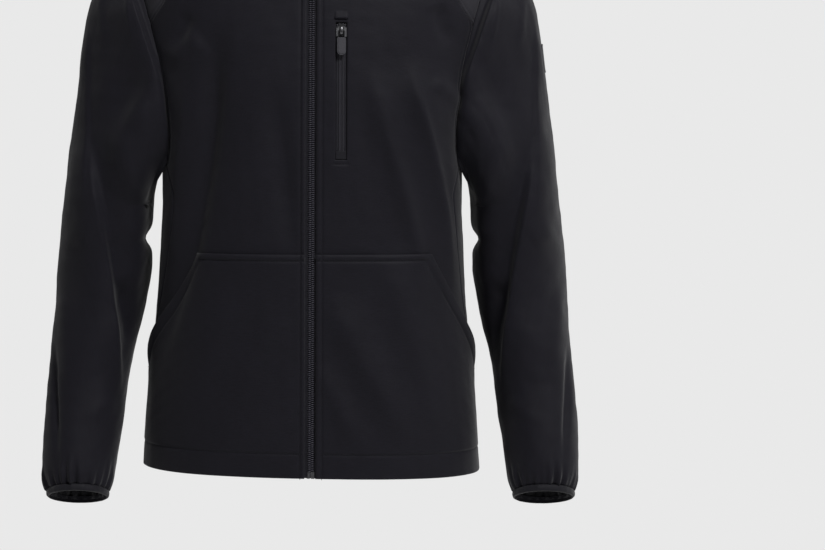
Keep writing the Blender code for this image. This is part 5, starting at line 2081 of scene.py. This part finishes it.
@dataclass
class FrontZip:
    """The centre-front zip: tape behind the fronts' edges, coil, box at the foot, slider and pull."""

    form: TorsoForm
    collar: Collar
    tape_half: float = 0.0120
    tape_thick: float = 0.0008
    tape_behind: float = 0.0030
    proud: float = 0.0028
    proud_above: float = 0.006
    proud_run: float = 0.02
    coil_behind: float = 0.0021
    tooth: Triple = (0.0014, 0.0024, 0.0040)
    tooth_pitch: float = 0.0024
    tooth_off: float = 0.0016
    chain_off: float = 0.0040
    chain: Triple = (0.0017, 0.0009, 0.0009)
    chain_pitch: float = 0.0021
    chain_rise: float = 0.0006
    chain_half: float = 0.0008
    slider_wide: float = 0.0086
    box_tall: float = 0.0080
    box_wide: float = 0.0084
    box_notch: float = 0.0002
    box_faces: Pair = (-0.0010, 0.0022)
    box_round: float = 0.0007
    rows: int = 230
    collar_rows: int = 26
    settle: int = 9
    tape_cut: Cut = Cut(0.025, 0.67, 0.0165)

    def surface(self, offset: float) -> Surface:
        """The line of the fronts' and collar's face up the zip.

        Args:
            offset: How far the line is from the middle.

        Returns:
            Points and outward directions.
        """
        foot = self.form.hem + 2 * SEAM
        neck = float(self.form.neck_height(np.array(self.collar.edge_angle(Side.LEFT))))
        height = np.linspace(foot, neck, self.rows)
        low = self.form.cloth(self.form.angle_at(offset, height), height)[0]
        high = self.collar.stand(offset, np.linspace(0, self.collar.tall, self.collar_rows)[1:])
        low[:, 1] -= self.proud * ease((PatchPockets.top + self.proud_above - height) / self.proud_run)
        points = np.concatenate([low, high])
        out = unit(np.cross(np.array([1.0, 0, 0]), np.gradient(points, axis=0)))
        padded = np.pad(out, ((self.settle, self.settle), (0, 0)), mode="edge")
        window = np.ones(2 * self.settle + 1) / (2 * self.settle + 1)
        out = np.stack([np.convolve(padded[:, k], window, mode="valid") for k in range(3)], axis=-1)
        return points, unit(out)

    def line(self, offset: float, behind: float, skip: float = 0.0) -> Array:
        """An even line of points along the zip.

        Args:
            offset: How far it is from the middle.
            behind: How far it is behind the fronts' face.
            skip: How far up from the foot it starts.

        Returns:
            The line's points.
        """
        points, out = self.surface(offset)
        points = points - out * behind
        run = run_along(points)
        at = np.linspace(skip, run[-1], len(points))
        return np.stack([np.interp(at, run, points[:, k]) for k in range(3)], axis=-1)

    def build(self) -> None:
        """Builds tape, coil, sewing and box, then slider and pull."""
        across = np.linspace(-self.tape_half, self.tape_half, 25)
        lines = [self.surface(float(x)) for x in across]
        points = np.stack([line[0] for line in lines], axis=1)
        out = np.stack([line[1] for line in lines], axis=1)
        cord = self.chain_rise * hump(np.abs(across) - self.chain_off, self.chain_half)
        face = points - out * (self.tape_behind - cord)[None, :, None]
        back = points - out * (self.tape_behind + self.tape_thick)
        cloth = Shell("front_zip_tape", face, back, TAPE, TAPE)
        cloth.sew("front_zip")
        starts = (self.box_tall, self.box_tall + self.tooth_pitch / 2)
        rows = [self.line(x * self.tooth_off, self.coil_behind, at) for x, at in zip((-1, 1), starts)]
        BeadRow("front_zip_coil", COIL, self.tooth_pitch, self.tooth, 0.04, 3, 8, 5).lay(rows)
        chains = [self.line(x * self.chain_off, self.tape_behind - self.chain_rise) for x in (-1, 1)]
        BeadRow("front_zip_chain_stitch", TAPE, self.chain_pitch, self.chain).lay(chains)
        self.build_box()
        up = np.array([0, self.collar.tall / 2, self.collar.tall])
        stand = self.collar.stand(0.0, up)
        out = unit(np.cross(np.array([1.0, 0, 0]), stand[2] - stand[0]))
        SliderAndPull("main", "main_pull_hinge", out, self.slider_wide).build()

    def build_box(self) -> None:
        """Builds the box at the zip's foot: a rounded block with a notch between its halves."""
        foot = np.array([self.form.hem + self.box_tall / 2])
        point, out = self.form.cloth(np.zeros(1), foot)
        hard_piece("zip_box_metal", self.box, placing(point[0], (1, 0, 0), out[0]), METAL, "zip_box")

    def box(self, shape: Shape) -> None:
        """The box's two halves."""
        half, tall = self.box_wide / 2, self.box_tall / 2
        for x0, x1 in ((-half, -self.box_notch), (self.box_notch, half)):
            start = len(shape.edges)
            plate(shape, [(x0, -tall), (x1, -tall), (x1, tall), (x0, tall)], *self.box_faces)
            round_off(shape, start, self.box_round)


@dataclass
class ChestPocket:
    """The chest pocket's zip behind its slot, turned face in, with garage, end patch, slider and pull."""

    form: TorsoForm
    slot: ChestSlot
    under: tuple[str, ...] = ("front_left_cloth",)
    slider_height: float = -0.1735
    slider_wide: float = 0.0112
    end_gap: float = 0.0008
    step: float = 0.0009
    tape_step: float = 0.0004
    tape_half: float = 0.0094
    tape_behind: float = 0.0034
    tape_thick: float = 0.0008
    coil_half: float = 0.0034
    coil_rise: float = 0.0015
    coil_parting: Pair = (0.0009, 0.0005)
    ribs: Pair = (0.0023, 0.0048)
    rib_rise: float = 0.0014
    rib_half: float = 0.0006
    garage_wide: float = 0.0155
    garage_tall: float = 0.011
    garage_above: float = 0.0040
    garage_thick: float = 0.0012
    garage_rise: float = 0.0026
    garage_sunk: float = 0.0014
    garage_round: float = 0.0040
    end_tall: float = 0.009
    end_in: float = 0.0006
    end_sunk: float = 0.0009
    end_thick: float = 0.0006
    tape_cut: Cut = Cut(0.0255, 0.155, 0.0038)
    garage_cut: Cut = Cut(0.018, 0.014, 0.00021)
    end_cut: Cut = Cut(0.014, 0.012, 0.00012)

    def surface(self, across: Array, height: Array) -> Surface:
        """Points and directions of the front's cloth at distances beside the zip and heights."""
        across, height = np.meshgrid(across, height)
        return self.form.cloth(self.form.angle_at(self.slot.x + across, height), height)

    def build(self) -> None:
        """Builds the pocket's pieces."""
        across = spread(2 * self.tape_half, self.tape_step) * 2 * self.tape_half - self.tape_half
        height = np.linspace(self.slot.bottom + self.end_gap, self.slot.top - self.end_gap, 90)
        points, out = self.surface(across, height)
        rise = self.coil_rise * np.exp(-((across / self.coil_half) ** 4))
        rise = rise - self.coil_parting[0] * hump(across, self.coil_parting[1])
        for rib in self.ribs:
            rise = rise + self.rib_rise * hump(np.abs(across) - rib, self.rib_half)
        face = points - out * (self.tape_behind - rise)[None, :, None]
        back = points - out * (self.tape_behind + self.tape_thick)
        cloth = Shell("chest_zip_tape", face, back, COATED, COATED)
        cloth.sew("chest_zip")
        self.build_garage()
        self.build_end()
        at = np.array([self.slider_height])
        out = self.form.normals(self.form.angle_at(self.slot.x, at), at)[0]
        SliderAndPull("chest", "chest_pull_hinge", out, self.slider_wide).build()

    def build_garage(self) -> None:
        """Builds the flap over the zip's top end: it stands up at its mouth and lies down into the cloth."""
        half = self.garage_wide / 2
        across = spread(self.garage_wide, self.step) * self.garage_wide - half
        t = spread(self.garage_tall, self.step)
        points, out = self.surface(across, self.slot.top + self.garage_above + t * self.garage_tall)
        beside = quarter_round(half - np.abs(across), self.garage_round)[None, :]
        lift = -self.garage_sunk + self.garage_rise * (1 - ease(t)[:, None]) * (1 - 0.5 * beside)
        low = points + out * lift[..., None]
        face, inside = worked(low + out * self.garage_thick, out, self.garage_thick, (TURNED,) * 4)
        cloth = Shell("chest_garage_flap", face, inside, SHELL_FACE, SHELL_FACE)
        cloth.sew("chest_garage")

    def build_end(self) -> None:
        """Builds the smooth patch that closes the slot's foot."""
        half = self.slot.half - self.end_in
        across = spread(2 * half, self.step) * 2 * half - half
        height = self.slot.bottom + self.end_gap + spread(self.end_tall, self.step) * self.end_tall
        points, out = self.surface(across, height)
        face, inside = worked(points - out * self.end_sunk, out, self.end_thick, (RAW,) * 4)
        cloth = Shell("chest_zip_end", face, inside, BINDING, BINDING)
        cloth.sew("")


class Lamp(NamedTuple):
    """A square soft light: where it stands, its power in watts and the length of its sides."""

    name: str
    place: Triple
    power: float
    size: float


LAMPS = (
    Lamp("key", (1.4, -2.6, 2.9), 146.0, 0.8),
    Lamp("fill", (-2.4, -2.2, 0.4), 4.0, 1.8),
)


def aim(obj: Object, place: Triple, target: Triple, roll: float = 0.0) -> None:
    """Sets an object in its place, turned to a target.

    Args:
        obj: A camera or a lamp.
        place: Where it stands.
        target: What it faces.
        roll: How far it is turned about that line, in degrees.
    """
    obj.location = place
    obj.rotation_mode = "QUATERNION"
    facing = (Vector(target) - Vector(place)).to_track_quat("-Z", "Y")
    obj.rotation_quaternion = facing @ Quaternion((0, 0, 1), math.radians(roll))


@dataclass(frozen=True)
class Studio:
    """The camera at the photograph's angle, a pale floor and backdrop, and soft light."""

    eye: Triple = (0.03, -3.6, -0.25)
    target: Triple = (0.1178, 0.0, -0.4565)
    lens: float = 134.0
    sensor: float = 36.0
    roll: float = 0.25
    backdrop: float = 0.815
    sky_from: float = -0.6
    sky_front: float = 0.14
    sky_back: float = 0.95
    sky_top: float = 0.30
    sky_left: float = 0.15
    lit_middle: Triple = (0.05, 0.0, -0.38)
    floor_height: float = -1.5
    floor_half: Pair = (5.0, 4.5)

    def build(self) -> None:
        """Builds camera, world, lights and floor."""
        scene = bpy.context.scene
        scene.view_settings.view_transform = "Standard"
        camera = link(bpy.data.objects.new("camera", bpy.data.cameras.new("camera")))
        camera.data.lens = self.lens
        camera.data.sensor_width = self.sensor
        aim(camera, self.eye, self.target, self.roll)
        scene.camera = camera
        for lamp in LAMPS:
            light = bpy.data.lights.new(lamp.name, "AREA")
            light.energy = lamp.power
            light.size = lamp.size
            aim(link(bpy.data.objects.new(lamp.name, light)), lamp.place, self.lit_middle)
        self.world(scene)
        self.floor()

    def world(self, scene: bpy.types.Scene) -> None:
        """An even pale backdrop that lights more from behind, above and +X than from the front and -X.

        Args:
            scene: The scene that takes it.
        """
        world = bpy.data.worlds.new("studio")
        world.use_nodes = True
        scene.world = world
        desk = NodeDesk(world.node_tree)
        facing = desk.add("ShaderNodeTexCoord").outputs["Generated"]
        way = desk.add("ShaderNodeSeparateXYZ", {0: facing}).outputs
        level = desk.between(way["Y"], self.sky_front, self.sky_back, self.sky_from)
        lit = desk.mix("ADD", level, desk.between(way["Z"], 0.0, self.sky_top))
        lit = desk.mix("MULTIPLY", lit, desk.between(way["X"], self.sky_left, 1.0, -1.0))
        seen = desk.add("ShaderNodeLightPath").outputs["Is Camera Ray"]
        shown = {"Factor": seen, "A": lit, "B": self.backdrop}
        strength = desk.add("ShaderNodeMix", shown).outputs["Result"]
        ground = world.node_tree.nodes["Background"]
        ground.inputs["Color"].default_value = (1, 1, 1, 1)
        desk.tree.links.new(strength, ground.inputs["Strength"])

    def floor(self) -> None:
        """A pale floor well below the jacket."""
        mesh = bpy.data.meshes.new("floor")
        turns = np.linspace(0, 2 * math.pi, 64, endpoint=False)
        wide, deep = self.floor_half
        ring = [(wide * math.cos(t), deep * math.sin(t), self.floor_height) for t in turns]
        mesh.from_pydata(ring, [], [list(range(len(ring)))])
        mesh.materials.append(Finish("floor_paint", "softshell", (0.78, 0.78, 0.78), 0.8).material())
        floor = link(bpy.data.objects.new("floor", mesh))


def main() -> None:
    """Builds the jacket's pieces in order, then the studio."""
    logging.basicConfig(level=logging.INFO, format="%(name)s %(message)s")
    form, sewing, slot = TorsoForm(), Sewing(), ChestSlot()
    Body(form, sewing, slot).build()
    PatchPockets(form, sewing).build()
    collar = Collar(form, sewing)
    collar.build()
    sleeves = {side: Sleeve(form, sewing, side) for side in Side}
    for sleeve in sleeves.values():
        sleeve.build()
    SleevePatch(sleeves[Side.LEFT]).build()
    FrontZip(form, collar).build()
    ChestPocket(form, slot).build()
    sewing.build()
    Studio().build()


if __name__ == "__main__":
    main()
